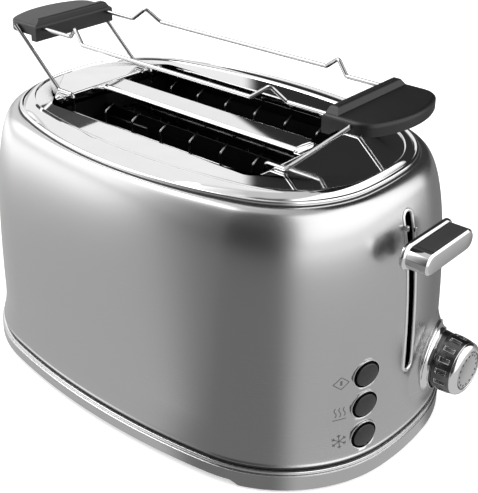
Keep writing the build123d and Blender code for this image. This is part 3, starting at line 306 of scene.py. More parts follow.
def oval_ring(oval, height):
    """A ring of points round an oval at a height."""
    _, half_width, side, end, corner = oval
    end_x, side_y, corner_x, corner_y = arc_centres(oval)
    end_turn = atan2(corner_y, corner_x - end_x)
    side_turn = atan2(corner_y - side_y, corner_x)
    quarter = []
    for x, y, radius, start, stop, steps in (
            (end_x, 0.0, end, 0.0, end_turn, END_STEPS),
            (corner_x, corner_y, corner, end_turn, side_turn, CORNER_STEPS),
            (0.0, side_y, side, side_turn, pi / 2, SIDE_STEPS)):
        for step in range(steps):
            turn = start + (stop - start) * step / steps
            quarter.append((x + radius * cos(turn), y + radius * sin(turn)))
    return whole_ring(quarter + [(0.0, half_width)], height)


def rolled_sheet(name, rings, closed=True):
    """A flat grid rolled up so that its rows lie on the rings. Closed, the last row joins the first."""
    rows = rings + rings[:1] if closed else rings
    count = len(rows[0])
    bpy.ops.object.select_all(action="DESELECT")
    bpy.ops.mesh.primitive_grid_add(x_subdivisions=count, y_subdivisions=len(rows) - 1)
    sheet = bpy.context.object
    sheet.name = sheet.data.name = name
    for number, vertex in enumerate(sheet.data.vertices):
        row, column = divmod(number, count + 1)
        vertex.co = rows[row][column % count]
    close_up(sheet)
    return sheet


def close_up(piece):
    """Join what meets, turn the faces outwards and shade the curved parts smooth."""
    bpy.ops.object.mode_set(mode="EDIT")
    bpy.ops.mesh.select_all(action="SELECT")
    bpy.ops.mesh.remove_doubles(threshold=1e-6)
    bpy.ops.mesh.normals_make_consistent(inside=False)
    bpy.ops.object.mode_set(mode="OBJECT")
    bpy.ops.object.shade_smooth_by_angle(angle=SMOOTH_ANGLE)


def pressed_out(name, outline, near_x, far_x):
    """A flat outline of (y, z) points at near_x, extruded along X to far_x."""
    bpy.ops.object.select_all(action="DESELECT")
    bpy.ops.mesh.primitive_circle_add(vertices=len(outline), fill_type="NGON")
    shape = bpy.context.object
    shape.name = shape.data.name = name
    for vertex, (y, z) in zip(shape.data.vertices, outline):
        vertex.co = (near_x * MM, y * MM, z * MM)
    bpy.ops.object.mode_set(mode="EDIT")
    bpy.ops.mesh.select_all(action="SELECT")
    bpy.ops.mesh.extrude_region_move(TRANSFORM_OT_translate={"value": ((far_x - near_x) * MM, 0, 0)})
    bpy.ops.object.mode_set(mode="OBJECT")
    close_up(shape)
    return shape


def spun(name, outline, y, z, steps=96):
    """A solid turned about the line along X through y and z, from (x, radius) points."""
    bpy.ops.object.select_all(action="DESELECT")
    bpy.ops.mesh.primitive_circle_add(vertices=len(outline))
    piece = bpy.context.object
    piece.name = piece.data.name = name
    for vertex, (x, radius) in zip(piece.data.vertices, outline):
        vertex.co = (x * MM, y * MM, (z + radius) * MM)
    bpy.ops.object.mode_set(mode="EDIT")
    bpy.ops.mesh.select_all(action="SELECT")
    bpy.ops.mesh.spin(steps=steps, angle=2 * pi, center=(0, y * MM, z * MM), axis=(1, 0, 0))
    bpy.ops.object.mode_set(mode="OBJECT")
    close_up(piece)
    return piece


def cut(piece, cutter):
    """Take the cutter's shape out of the piece."""
    bpy.context.view_layer.objects.active = piece
    modifier = piece.modifiers.new("hole", "BOOLEAN")
    modifier.operation = "DIFFERENCE"
    modifier.object = cutter
    modifier.solver = "EXACT"
    bpy.ops.object.modifier_apply(modifier="hole")
    bpy.data.objects.remove(cutter)


def wear(piece, material, body, *nodes):
    """Give the piece its finish, the body it rides on and the plain solids that it stands for."""
    piece.data.materials.clear()
    piece.data.materials.append(material)
    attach(piece, body)
    if nodes:
        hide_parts(*nodes)


def casing_oval(z):
    """The outside of the casing at a height."""
    if z <= DRAWN_Z:
        share = max((z - FOOT_Z) / (DRAWN_Z - FOOT_Z), 0.0)
        return drawn(CASING, DRAWN_IN * sin(pi / 2 * share))
    height = min((z - DRAWN_Z) / (RIM_Z - DRAWN_Z), 1.0)
    share = 1 - max(1 - height ** SHOULDER_POWER, 0.0) ** (1 / SHOULDER_POWER)
    return blend(drawn(CASING, DRAWN_IN), RIM, share)


def wall_x(y, z):
    """How far out the control end's wall is."""
    oval = casing_oval(z)
    end_x, _, corner_x, corner_y = arc_centres(oval)
    end, corner = oval[3:]
    if abs(y) <= end * sin(atan2(corner_y, corner_x - end_x)):
        return CENTRE_X + end_x + sqrt(end ** 2 - y ** 2)
    return CENTRE_X + corner_x + sqrt(corner ** 2 - (abs(y) - corner_y) ** 2)


# The hem's rings, as how far each stands in from the casing's oval and up from its foot.
HEM = ((1.2, 0.0), (-0.2, 0.0), (-0.35, 0.15), (-0.35, 0.35), (-0.1, 0.8), (0.12, 1.15))


def casing_profile():
    """Ovals with their heights, up the outside of the wall and over the shoulder."""
    profile = [(drawn(CASING, depth), FOOT_Z + rise) for depth, rise in HEM]
    for step in range(1, DRAWN_STEPS + 1):
        z = FOOT_Z + (DRAWN_Z - FOOT_Z) * step / DRAWN_STEPS
        profile.append((casing_oval(z), z))
    for step in range(1, SHOULDER_STEPS + 1):
        turn = pi / 2 * step / SHOULDER_STEPS
        share = 1 - max(cos(turn), 0.0) ** (2 / SHOULDER_POWER)
        z = DRAWN_Z + (RIM_Z - DRAWN_Z) * sin(turn) ** (2 / SHOULDER_POWER)
        profile.append((blend(drawn(CASING, DRAWN_IN), RIM, share), z))
    return profile


RIM_FOLD = ((0.25, 0.1), (0.4, 0.5), (3.0, 0.6))
RINGS_BY_RIM = 6
outside = casing_profile()
turned_down = [(drawn(RIM, depth), RIM_Z - drop) for depth, drop in RIM_FOLD]
inside = [(drawn(oval, SHEET), z) for oval, z in reversed(outside[len(HEM):-RINGS_BY_RIM])]
casing = rolled_sheet("casing_pressing", [oval_ring(*ring) for ring in outside + turned_down + inside])

DIAL_Y, DIAL_Z = 33.2, 43.9
# The boss under the dial rises from a foot that spreads further on the side towards the wall's middle.
BOSS_RISE = 2.4
BOSS_RADIUS, BOSS_FOOT_RADIUS, BOSS_REACH = 21.3, 26.5, 3.5
for vertex in casing.data.vertices:
    away = hypot(vertex.co.y / MM - DIAL_Y, vertex.co.z / MM - DIAL_Z)
    foot = BOSS_FOOT_RADIUS - BOSS_REACH * (vertex.co.y / MM - DIAL_Y) / max(away, 1.0)
    if vertex.co.x > 0 and away < foot:
        share = min((foot - away) / (foot - BOSS_RADIUS), 1.0)
        share = share * share * (3 - 2 * share)
        vertex.co.x += share * BOSS_RISE * MM

SLOT_HALF_WIDTH, SLOT_LOW, SLOT_HIGH = 3.0, 53.8, 147.6
LINER = 1.0
CUT_NEAR, CUT_FAR = 90, 170
ROUND_STEPS, STRAIGHT_STEPS = 20, 40


def stadium(half_width, low, high):
    """Points round an upright slot with round ends."""
    points = []
    top = high - half_width
    bottom = low + half_width
    for step in range(ROUND_STEPS):
        turn = pi * step / ROUND_STEPS
        points.append((half_width * cos(turn), top + half_width * sin(turn)))
    for step in range(STRAIGHT_STEPS):
        points.append((-half_width, top - (top - bottom) * step / STRAIGHT_STEPS))
    for step in range(ROUND_STEPS):
        turn = pi + pi * step / ROUND_STEPS
        points.append((half_width * cos(turn), bottom + half_width * sin(turn)))
    for step in range(STRAIGHT_STEPS):
        points.append((half_width, bottom + (top - bottom) * step / STRAIGHT_STEPS))
    return points


slot_outline = stadium(SLOT_HALF_WIDTH + LINER, SLOT_LOW - LINER, SLOT_HIGH + LINER)
cut(casing, pressed_out("slot_cutter", slot_outline, CUT_NEAR, CUT_FAR))

BUTTON_Y = -34.5
BUTTONS = {"defrost": 26.6, "reheat": 46.4, "cancel": 66.2}
BUTTON_HOLE, BUTTON_FLAT = 8.5, 0.93
HOLE_HALF_DEPTH = 9


def wall_frame(z):
    """From X along the push to a button's place, square to the curved wall and a little flattened."""
    slope = (wall_x(BUTTON_Y + 1, z) - wall_x(BUTTON_Y - 1, z)) / 2
    place = Vector((wall_x(BUTTON_Y, z), BUTTON_Y, z)) * MM
    turn = Matrix.Rotation(-atan2(slope, 1), 4, "Z")
    return Matrix.Translation(place) @ turn @ Matrix.Diagonal((1, 1, BUTTON_FLAT, 1))


def drum(name, half_depth, radius):
    """A round cutter about the X axis."""
    return spun(name, [(-half_depth, 0), (-half_depth, radius), (half_depth, radius), (half_depth, 0)], 0, 0)


def set_in(piece, place):
    """Move the mesh itself to its place."""
    piece.data.transform(place)


for button_z in BUTTONS.values():
    hole = drum("button_cutter", HOLE_HALF_DEPTH, BUTTON_HOLE)
    set_in(hole, wall_frame(button_z))
    cut(casing, hole)

steel = Finish("brushed_steel")
brush = steel.noise(steel.stretched((4, 4, 900)), 3.0, 3.0)
cloud = steel.noise(steel.place(), 9.0, 2.0)
steel.surface(
    Base_Color=steel.mix(brush, grey(0.57), grey(0.60)),
    Metallic=1.0,
    Roughness=brush * 0.03 + cloud * 0.03 + 0.235,
    Normal=steel.bump(brush, 0.012, 0.0002))
wear(casing, steel.data, "toaster", "outer_casing")


# Top plate
# A polished steel pressing that closes the top: a bead along the rim, a sloped band and a flat mirror panel
# with one window over both slots. A black strip under the bead is painted shade for the dark groove.
PANEL = (122.0, 69.4, 364.0, 178.0, 56.0)
PANEL_Z, LIP_Z = 165.2, 160.2
PLATE = 1.0
BAND_INSET, BAND_STEPS = 3.5, 20
VALLEY_Z, CREST_Z = 163.1, 166.1
WINDOW_X, WINDOW_HALF_LENGTH, WINDOW_HALF_WIDTH, WINDOW_CORNER = -5.6, 81.75, 49.6, 8.0
WINDOW_END_STEPS, WINDOW_CORNER_STEPS = 40, 24


def window_ring(grow, height):
    """A ring of as many points as the ovals have, round the window."""
    corner = WINDOW_CORNER + grow
    corner_x = WINDOW_HALF_LENGTH + grow - corner
    corner_y = WINDOW_HALF_WIDTH + grow - corner
    side_steps = END_STEPS + CORNER_STEPS + SIDE_STEPS - WINDOW_END_STEPS - WINDOW_CORNER_STEPS
    quarter = []
    for step in range(WINDOW_END_STEPS):
        quarter.append((corner_x + corner, corner_y * step / WINDOW_END_STEPS))
    for step in range(WINDOW_CORNER_STEPS):
        turn = pi / 2 * step / WINDOW_CORNER_STEPS
        quarter.append((corner_x + corner * cos(turn), corner_y + corner * sin(turn)))
    for step in range(side_steps + 1):
        quarter.append((corner_x * (1 - step / side_steps), corner_y + corner))
    shift = Vector((WINDOW_X * MM, 0, 0))
    return [point + shift for point in whole_ring(quarter, height)]


def band_oval(share):
    """An oval on the sloped band, from its valley at 0 to its crest at 1."""
    return blend(drawn(RIM, BAND_INSET), PANEL, share)


# The bead, as depths in from the rim's oval, and heights.
bead = [(2.6, 161.0), (0.95, 161.3), (0.9, 162.7), (1.0, 163.1), (1.25, 163.4), (1.6, 163.6), (2.0, 163.7),
        (2.4, 163.65), (2.8, 163.5), (3.1, 163.3), (3.3, 163.17)]
rings = [oval_ring(drawn(RIM, depth), z) for depth, z in bead]
for number in range(BAND_STEPS + 1):
    share = number / BAND_STEPS
    rings.append(oval_ring(band_oval(share), VALLEY_Z + (CREST_Z - VALLEY_Z) * sin(pi / 2 * share)))
step_down = ((0.4, CREST_Z), (0.7, CREST_Z - 0.15), (0.85, CREST_Z - 0.6), (1.0, PANEL_Z), (1.4, PANEL_Z))
rings += [oval_ring(drawn(PANEL, depth), z) for depth, z in step_down]
window_lip = ((1.2, PANEL_Z), (0.5, PANEL_Z), (0.15, PANEL_Z - 0.12), (0.0, PANEL_Z - 0.5), (0.0, LIP_Z),
              (PLATE, LIP_Z), (PLATE, PANEL_Z - PLATE))
rings += [window_ring(grow, z) for grow, z in window_lip]
rings.append(oval_ring(drawn(PANEL, 3.0), PANEL_Z - PLATE))
rings.append(oval_ring(band_oval(0.9), CREST_Z - 2 * PLATE))
rings.append(oval_ring(band_oval(0.0), VALLEY_Z - PLATE))
top_plate = rolled_sheet("top_plate_pressing", rings)


def plain_metal(name, level, roughness):
    """A bare metal that is a little uneven in brightness and polish."""
    metal = Finish(name)
    patina = metal.noise(metal.place(), 60.0, 4.0)
    metal.surface(
        Base_Color=metal.mix(patina, grey(level * 0.94), grey(min(level * 1.05, 1.0))),
        Metallic=1.0,
        Roughness=patina * 0.06 + (roughness - 0.03))
    return metal.data


def moulded_plastic(name, level, roughness, grain_scale, grain):
    """A plastic with a fine grain from its mould."""
    moulded = Finish(name)
    texture = moulded.noise(moulded.place(), grain_scale, 3.0)
    moulded.surface(
        Base_Color=moulded.mix(texture, grey(level * 0.8), grey(level * 1.25)),
        Roughness=texture * 0.12 + (roughness - 0.06),
        Normal=moulded.bump(texture, grain, 0.0002))
    return moulded.data


mirror = plain_metal("mirror_steel", 0.85, 0.04)
wear(top_plate, mirror, "toaster", "top_plate")

# The strip under the bead is near black plastic: painted shade for the shadow in the groove between the casing
# and the plate.
rim_shade_outline = ((0.0, 160.3), (0.0, 161.05), (0.3, 161.15), (2.0, 161.15), (2.0, 160.3))
rim_shade = rolled_sheet("rim_shade_strip", [oval_ring(drawn(RIM, depth), z) for depth, z in rim_shade_outline])
black = moulded_plastic("black_plastic", 0.02, 0.55, 800.0, 0.15)
wear(rim_shade, black, "toaster")


# Centre strip
# A folded steel cover between the two slots, with rounded long edges, skirts down into the slots and a tab at
# each end that tucks under the plate.
STRIP_HALF_WIDTH, STRIP_HALF_LENGTH = 9.2, 76.0
STRIP_TOP, STRIP_FOOT = 166.8, 157.8
STRIP_ROUND, STRIP_SHEET = 2.4, 1.0
TAB_TOP, TAB_FOOT, TAB_OVERLAP, TAB_ROUND = 164.2, 161.8, 3.0, 0.4


def folded_edge(side, half_width, top, radius, steps=12):
    """(y, z) points round one upper edge of the strip."""
    points = []
    for step in range(steps + 1):
        turn = pi / 2 * step / steps
        points.append((side * (half_width - radius + radius * cos(turn)), top - radius + radius * sin(turn)))
    return points


def soften(piece, width, segments=3, angle=30, material=-1):
    """Round the sharp edges. A material number gives the rounded edges that finish."""
    bpy.context.view_layer.objects.active = piece
    modifier = piece.modifiers.new("edges", "BEVEL")
    modifier.width = width * MM
    modifier.segments = segments
    modifier.limit_method = "ANGLE"
    modifier.angle_limit = radians(angle)
    modifier.material = material
    bpy.ops.object.modifier_apply(modifier="edges")
    bpy.ops.object.select_all(action="DESELECT")
    piece.select_set(True)
    bpy.ops.object.shade_smooth_by_angle(angle=SMOOTH_ANGLE)


def block(name, low, high):
    """A box between two corners, for cutting or for softening into a bar."""
    bpy.ops.object.select_all(action="DESELECT")
    bpy.ops.mesh.primitive_cube_add(size=1)
    box = bpy.context.object
    box.name = box.data.name = name
    for vertex in box.data.vertices:
        vertex.co = [MM * (b if corner > 0 else a) for corner, a, b in zip(vertex.co, low, high)]
    return box


def joined(name, *pieces):
    """One object from several."""
    bpy.ops.object.select_all(action="DESELECT")
    for piece in pieces:
        piece.select_set(True)
    bpy.context.view_layer.objects.active = pieces[0]
    bpy.ops.object.join()
    whole = bpy.context.object
    whole.name = whole.data.name = name
    return whole


STRIP_X = CENTRE_X + WINDOW_X
outer = (STRIP_HALF_WIDTH, STRIP_TOP, STRIP_ROUND)
inner = drawn(outer, STRIP_SHEET)
section = [(outer[0], STRIP_FOOT)] + folded_edge(1, *outer)
section += reversed(folded_edge(-1, *outer))
section += [(-outer[0], STRIP_FOOT), (-inner[0], STRIP_FOOT)] + folded_edge(-1, *inner)
section += reversed(folded_edge(1, *inner))
section += [(inner[0], STRIP_FOOT)]
strip_parts = [pressed_out("strip_cover", section, STRIP_X - STRIP_HALF_LENGTH, STRIP_X + STRIP_HALF_LENGTH)]
for end in (-1, 1):
    near, far = sorted((STRIP_X + end * (STRIP_HALF_LENGTH - TAB_OVERLAP), STRIP_X + end * WINDOW_HALF_LENGTH))
    tab = block("strip_tab", (near, -STRIP_HALF_WIDTH, TAB_FOOT), (far, STRIP_HALF_WIDTH, TAB_TOP))
    soften(tab, TAB_ROUND)
    strip_parts.append(tab)
    near, far = sorted((STRIP_X + end * (STRIP_HALF_LENGTH - STRIP_SHEET), STRIP_X + end * STRIP_HALF_LENGTH))
    strip_parts.append(block("strip_end", (near, -inner[0], STRIP_FOOT), (far, inner[0], inner[1])))
strip = joined("strip_cover", *strip_parts)
strip_steel = plain_metal("strip_steel", 0.82, 0.06)
wear(strip, strip_steel, "toaster", "centre_strip")


# Base
# A satin band round the foot with a polished trim ring above it, and a near black strip between the ring and
# the casing, painted shade for the shadow in that seam. At the control end the band nearly reaches the
# worktop. The crumb tray's front is part of it.
BAND_LOW, BAND_HIGH = 3.5, 10.6
SKIRT_LOW, SKIRT_X, SKIRT_RAMP = 0.8, CENTRE_X + 101.0, 4.0
TRIM_LOW, TRIM_HIGH = 11.1, 13.1
# Outlines round the foot are depths in from the casing's oval, and heights.
trim_outline = ((1.4, TRIM_LOW), (-0.5, TRIM_LOW), (-0.95, TRIM_LOW + 0.15), (-1.15, TRIM_LOW + 0.5),
                (-1.2, (TRIM_LOW + TRIM_HIGH) / 2), (-1.15, TRIM_HIGH - 0.5), (-0.95, TRIM_HIGH - 0.15),
                (-0.5, TRIM_HIGH), (1.4, TRIM_HIGH))
trim_ring = rolled_sheet("foot_trim_ring", [oval_ring(drawn(CASING, depth), z) for depth, z in trim_outline])
ring_chrome = plain_metal("ring_chrome", 0.92, 0.2)
wear(trim_ring, ring_chrome, "toaster", "base_trim_ring")

# A near black, nearly unreflecting strip with a faint speckle fills the seam: painted shade for its shadow.
SEAM_LOW, SEAM_HIGH, SEAM_FACE, SEAM_BACK = BAND_HIGH - 0.3, FOOT_Z + 0.4, 1.1, 2.2
seam_outline = ((SEAM_BACK, SEAM_LOW), (SEAM_FACE, SEAM_LOW), (SEAM_FACE, SEAM_HIGH), (SEAM_BACK, SEAM_HIGH))
foot_seam_shade = rolled_sheet("foot_seam_shade", [oval_ring(drawn(CASING, depth), z) for depth, z in seam_outline])
painted_shade_black = Finish("painted_shade_black")
shade_speckle = painted_shade_black.noise(painted_shade_black.place(), 400.0)
painted_shade_black.surface(
    Base_Color=painted_shade_black.mix(shade_speckle, grey(0.001), grey(0.004)), Roughness=0.9, Specular_IOR_Level=0.05)
wear(foot_seam_shade, painted_shade_black.data, "toaster")


def band_rings(gap, low):
    """The band's rings, gap in from its edges. Its lower rings drop to low at the control end."""
    top, bottom = BAND_HIGH - gap, BAND_LOW + gap
    outline = ((2.4, top, 0), (-1.6, top, 0), (-1.8, top - 0.1, 0), (-1.9, top - 0.3, 0), (-1.9, top - 0.8, 0),
               (-1.9, bottom + 1.0, 1), (-1.85, bottom + 0.5, 1), (-1.65, bottom + 0.15, 1), (-1.3, bottom, 1),
               (0.0, bottom, 1), (0.0, bottom, 0), (2.4, bottom, 0))
    band = []
    for depth, z, drops in outline:
        ring = oval_ring(drawn(CASING, depth), z)
        for point in ring:
            share = min(max((point.x / MM - SKIRT_X + SKIRT_RAMP) / SKIRT_RAMP, 0.0), 1.0)
            point.z -= drops * share * (BAND_LOW - low) * MM
        band.append(ring)
    return band


TRAY_HALF_WIDTH, TRAY_SEAM = 50.0, 0.3
TRAY_LEFT, TRAY_RIGHT = CENTRE_X - 145.6, CENTRE_X + 74.0
TRAY_FLOOR_Z, TRAY_TOP_Z, TRAY_WALL, TRAY_ROUND = 5.7, 9.6, 0.8, 0.3
# The cutters reach this far, beyond the toaster's sides and over its foot.
BEYOND_X, BEYOND_Y, BEYOND_Z = 200, 150, 20
FRONT_CUT_X, SIDE_CUT_X = -100, -90
foot_band = rolled_sheet("foot_band", band_rings(0.0, SKIRT_LOW))
half = TRAY_HALF_WIDTH + TRAY_SEAM
cut(foot_band, block("band_cutter", (-BEYOND_X, -half, 0), (FRONT_CUT_X, half, BEYOND_Z)))
satin = plain_metal("satin_trim", 0.62, 0.24)
wear(foot_band, satin, "toaster", "base_band")

tray_front = rolled_sheet("tray_front", band_rings(TRAY_SEAM, BAND_LOW))
cut(tray_front, block("front_cutter", (FRONT_CUT_X, -BEYOND_Y, 0), (BEYOND_X, BEYOND_Y, BEYOND_Z)))
cut(tray_front, block("front_cutter", (-BEYOND_X, TRAY_HALF_WIDTH, 0), (SIDE_CUT_X, BEYOND_Y, BEYOND_Z)))
cut(tray_front, block("front_cutter", (-BEYOND_X, -BEYOND_Y, 0), (SIDE_CUT_X, -TRAY_HALF_WIDTH, BEYOND_Z)))
FINGER_PLACE, FINGER_HALF_DEPTH, FINGER_RADIUS = (CENTRE_X - 151.9, 0, BAND_LOW), 4, 7
finger_cutter = drum("grip_cutter", FINGER_HALF_DEPTH, FINGER_RADIUS)
set_in(finger_cutter, Matrix.Translation(Vector(FINGER_PLACE) * MM) @ Matrix.Rotation(pi / 2, 4, "Y"))
cut(tray_front, finger_cutter)
tray = block("tray_pan", (TRAY_LEFT, -TRAY_HALF_WIDTH, TRAY_FLOOR_Z),
             (TRAY_RIGHT, TRAY_HALF_WIDTH, TRAY_TOP_Z))
TRAY_BAR = 4.0
half = TRAY_HALF_WIDTH - TRAY_WALL
cut(tray, block("tray_cutter", (TRAY_LEFT + TRAY_BAR, -half, TRAY_FLOOR_Z + TRAY_WALL),
                (TRAY_RIGHT - TRAY_WALL, half, BEYOND_Z)))
soften(tray, TRAY_ROUND)
tray = joined("tray_pressing", tray, tray_front)
wear(tray, satin, "tray", "crumb_tray")


# Lever
# A chrome-plated paddle with a satin face and a black inlay on top, in front of a back plate. Its flat steel
# arm runs in an upright slot edged with a bright trim, between two polished stops.
# The trim's edge, as how far it stands out from the slot and proud of the wall.
trim_edge = ((1.9, -0.4), (1.9, 0.2), (1.75, 0.55), (1.4, 0.8), (0.95, 0.9), (0.5, 0.8), (0.15, 0.5),
             (0.0, 0.1), (0.0, -0.6), (0.9, -0.6), (0.9, -0.4))
rings = []
for grow, proud in trim_edge:
    outline = stadium(SLOT_HALF_WIDTH + grow, SLOT_LOW - grow, SLOT_HIGH + grow)
    rings.append([Vector((wall_x(y, z) + proud, y, z)) * MM for y, z in outline])
slot_trim = rolled_sheet("lever_slot_edging", rings)
bright_trim = plain_metal("bright_trim", 0.95, 0.36)
wear(slot_trim, bright_trim, "toaster", "lever_slot_trim")

PADDLE_Z, PADDLE_HALF_LENGTH, PADDLE_HALF_HEIGHT = 133.6, 23.3, 6.2
PADDLE_TOP = PADDLE_Z + PADDLE_HALF_HEIGHT
PADDLE_BACK, PADDLE_FACE = CENTRE_X + 153.0, CENTRE_X + 165.6
PADDLE_ROUND_STEPS = 24


def lozenge(x, grow):
    """A ring at x round the paddle's outline, grown outwards."""
    radius = PADDLE_HALF_HEIGHT + grow
    reach = PADDLE_HALF_LENGTH - PADDLE_HALF_HEIGHT
    ring = []
    for side in (1, -1):
        for step in range(PADDLE_ROUND_STEPS + 1):
            turn = pi * step / PADDLE_ROUND_STEPS - pi / 2
            y, z = side * (reach + radius * cos(turn)), PADDLE_Z + side * radius * sin(turn)
            ring.append(Vector((x, y, z)) * MM)
    return ring


paddle_outline = [(PADDLE_BACK, -PADDLE_HALF_HEIGHT), (PADDLE_BACK, 0.0), (PADDLE_FACE - 1.35, 0.0)]
paddle_outline += [(PADDLE_FACE - 1.15, -0.05), (PADDLE_FACE - 0.95, -0.2), (PADDLE_FACE - 0.3, -0.95)]
paddle_outline += [(PADDLE_FACE - 0.1, -1.15), (PADDLE_FACE, -1.4), (PADDLE_FACE, -PADDLE_HALF_HEIGHT)]
paddle = rolled_sheet("paddle_body", [lozenge(*ring) for ring in paddle_outline], False)
INLAY_HALF, INLAY_BACK, INLAY_FRONT, INLAY_DEPTH = 18.5, PADDLE_BACK + 0.5, PADDLE_FACE - 1.3, 1.0
PAD_GAP, PAD_NEAR_GAP, PAD_FAR_GAP, PAD_ROUND = 0.2, 3.2, 0.6, 0.25
PAD_FOOT, INLAY_TOP = PADDLE_TOP - 0.8, PADDLE_TOP - 0.45
cut(paddle, block("inlay_cutter", (INLAY_BACK, -INLAY_HALF, PADDLE_TOP - INLAY_DEPTH),
                  (INLAY_FRONT, INLAY_HALF, PADDLE_TOP + BEYOND_Z)))
chromed = Finish("paddle_chrome")
face_x, _, _ = chromed.axes(chromed.place())
face = face_x > (PADDLE_FACE - 0.1) * MM
brushed = chromed.noise(chromed.stretched((40, 1, 40)), 60.0, 3.0)
chromed.surface(
    Base_Color=chromed.mix(face, grey(0.85), grey(0.66)), Metallic=1.0,
    Roughness=face * 0.27 + brushed * 0.04 + 0.04)
wear(paddle, chromed.data, "carriage", "lever_paddle")

inlay_tray = block("inlay_tray", (INLAY_BACK, -INLAY_HALF, PADDLE_TOP - INLAY_DEPTH),
                   (INLAY_FRONT, INLAY_HALF, INLAY_TOP))
inlay_pad = block("inlay_pad", (INLAY_BACK + PAD_GAP, PAD_NEAR_GAP - INLAY_HALF, PAD_FOOT),
                  (INLAY_FRONT - PAD_GAP, INLAY_HALF - PAD_FAR_GAP, PADDLE_TOP))
soften(inlay_pad, PAD_ROUND)
inlay = joined("paddle_inlay", inlay_tray, inlay_pad)
inlay_black = moulded_plastic("inlay_black", 0.04, 0.6, 2600.0, 0.5)
wear(inlay, inlay_black, "carriage", "lever_inlay")

PLATE_BACK, PLATE_LIP = CENTRE_X + 150.2, 1.5
plate_outline = [(PLATE_BACK, -PADDLE_HALF_HEIGHT), (PLATE_BACK, PLATE_LIP - 0.3)]
plate_outline += [(PLATE_BACK + 0.3, PLATE_LIP), (PADDLE_BACK - 1.3, PLATE_LIP)]
plate_outline += [(PADDLE_BACK - 1.05, PLATE_LIP - 0.1), (PADDLE_BACK - 0.1, PLATE_LIP - 1.0)]
plate_outline += [(PADDLE_BACK, PLATE_LIP - 1.25), (PADDLE_BACK, -PADDLE_HALF_HEIGHT)]
back_plate = rolled_sheet("paddle_plate", [lozenge(*ring) for ring in plate_outline], False)
chrome = plain_metal("polished_chrome", 0.85, 0.06)
wear(back_plate, chrome, "carriage", "lever_back_plate")

ARM_INNER_X, ARM_LOW, ARM_HIGH, ARM_HALF_WIDTH, ARM_ROUND = 60.0, 135.0, 143.0, 1.6, 0.5
arm_outline = [(ARM_INNER_X, ARM_LOW), (CENTRE_X + 141.75, ARM_LOW), (PLATE_BACK, 129.5), (PLATE_BACK, 134.5)]
arm_outline += [(PLATE_BACK - 4.0, 137.0), (PLATE_BACK - 8.0, 140.2), (PLATE_BACK - 12.0, 142.4)]
arm_outline += [(PLATE_BACK - 16.0, ARM_HIGH), (ARM_INNER_X, ARM_HIGH)]
arm = pressed_out("lever_bracket", [(-x, z) for x, z in arm_outline], -ARM_HALF_WIDTH, ARM_HALF_WIDTH)
set_in(arm, Matrix.Rotation(-pi / 2, 4, "Z"))
soften(arm, ARM_ROUND)
arm_steel = plain_metal("arm_steel", 0.2, 0.3)
wear(arm, arm_steel, "carriage", "lever_arm")

STOPS = {"slot_stop_near": (-1, 140.6), "slot_stop_far": (1, 137.0)}
STOP_X, STOP_Y, STOP_HALF_HEIGHT, STOP_ROUND = (128.0, 134.4), (3.2, 5.2), 1.5, 0.5
for stop_name, (side, stop_z) in STOPS.items():
    near, far = sorted(side * y for y in STOP_Y)
    low, high = stop_z - STOP_HALF_HEIGHT, stop_z + STOP_HALF_HEIGHT
    stop = block(stop_name, (STOP_X[0], near, low), (STOP_X[1], far, high))
    soften(stop, STOP_ROUND)
    wear(stop, chrome, "toaster")


# Buttons
# Three glossy black caps, one each to cancel, reheat and defrost. Each has a sloping side in flat black,
# painted shade, round a slightly domed face, stands in a thin bright rim and pushes in square to the curved
# wall.
STEM_BACK, STEM_RADIUS = -7.6, 2.4
BUTTON_BACK, BUTTON_RADIUS, BUTTON_PROUD = -4.0, 8.0, 1.7
FACE_EDGE, DOME_RADIUS, DOME_RISE, DOME_STEPS = 6.7, 6.5, 0.4, 10
SIDE_X = BUTTON_PROUD - 0.65
BUTTON_STEPS = 64
gloss = moulded_plastic("gloss_black", 0.02, 0.2, 300.0, 0.05)
dome = [(STEM_BACK, 0), (STEM_BACK, STEM_RADIUS), (BUTTON_BACK, STEM_RADIUS), (BUTTON_BACK, BUTTON_RADIUS)]
dome += [(BUTTON_PROUD - 1.9, BUTTON_RADIUS), (BUTTON_PROUD - 1.6, BUTTON_RADIUS - 0.1)]
dome += [(BUTTON_PROUD - 0.75, FACE_EDGE + 0.45), (BUTTON_PROUD - 0.55, FACE_EDGE + 0.3)]
dome.append((BUTTON_PROUD - 0.42, FACE_EDGE))
for step in range(DOME_STEPS + 1):
    share = 1 - step / DOME_STEPS
    dome.append((BUTTON_PROUD - DOME_RISE * share ** 2, DOME_RADIUS * share))
rim_outline = [(-2.5, 8.3), (-2.5, 8.5), (-0.4, 8.5), (-0.4, 8.95), (0.1, 8.95), (0.25, 8.85), (0.3, 8.7),
               (0.25, 8.55), (0.0, 8.45), (-0.8, 8.3)]
for button_name, button_z in BUTTONS.items():
    button = spun(f"{button_name}_dome", dome, 0, 0, BUTTON_STEPS)
    # The faces on each cap's side get the flat near black finish: painted shade for the dark ring round the
    # cap.
    shaded_sides = [face.center.x < SIDE_X * MM for face in button.data.polygons]
    set_in(button, wall_frame(button_z))
    wear(button, gloss, button_name, f"{button_name}_button")
    button.data.materials.append(painted_shade_black.data)
    button.data.polygons.foreach_set("material_index", shaded_sides)
    rim = spun(f"{button_name}_rim", rim_outline, 0, 0, BUTTON_STEPS)
    set_in(rim, wall_frame(button_z))
    wear(rim, chrome, "toaster", "button_rims")


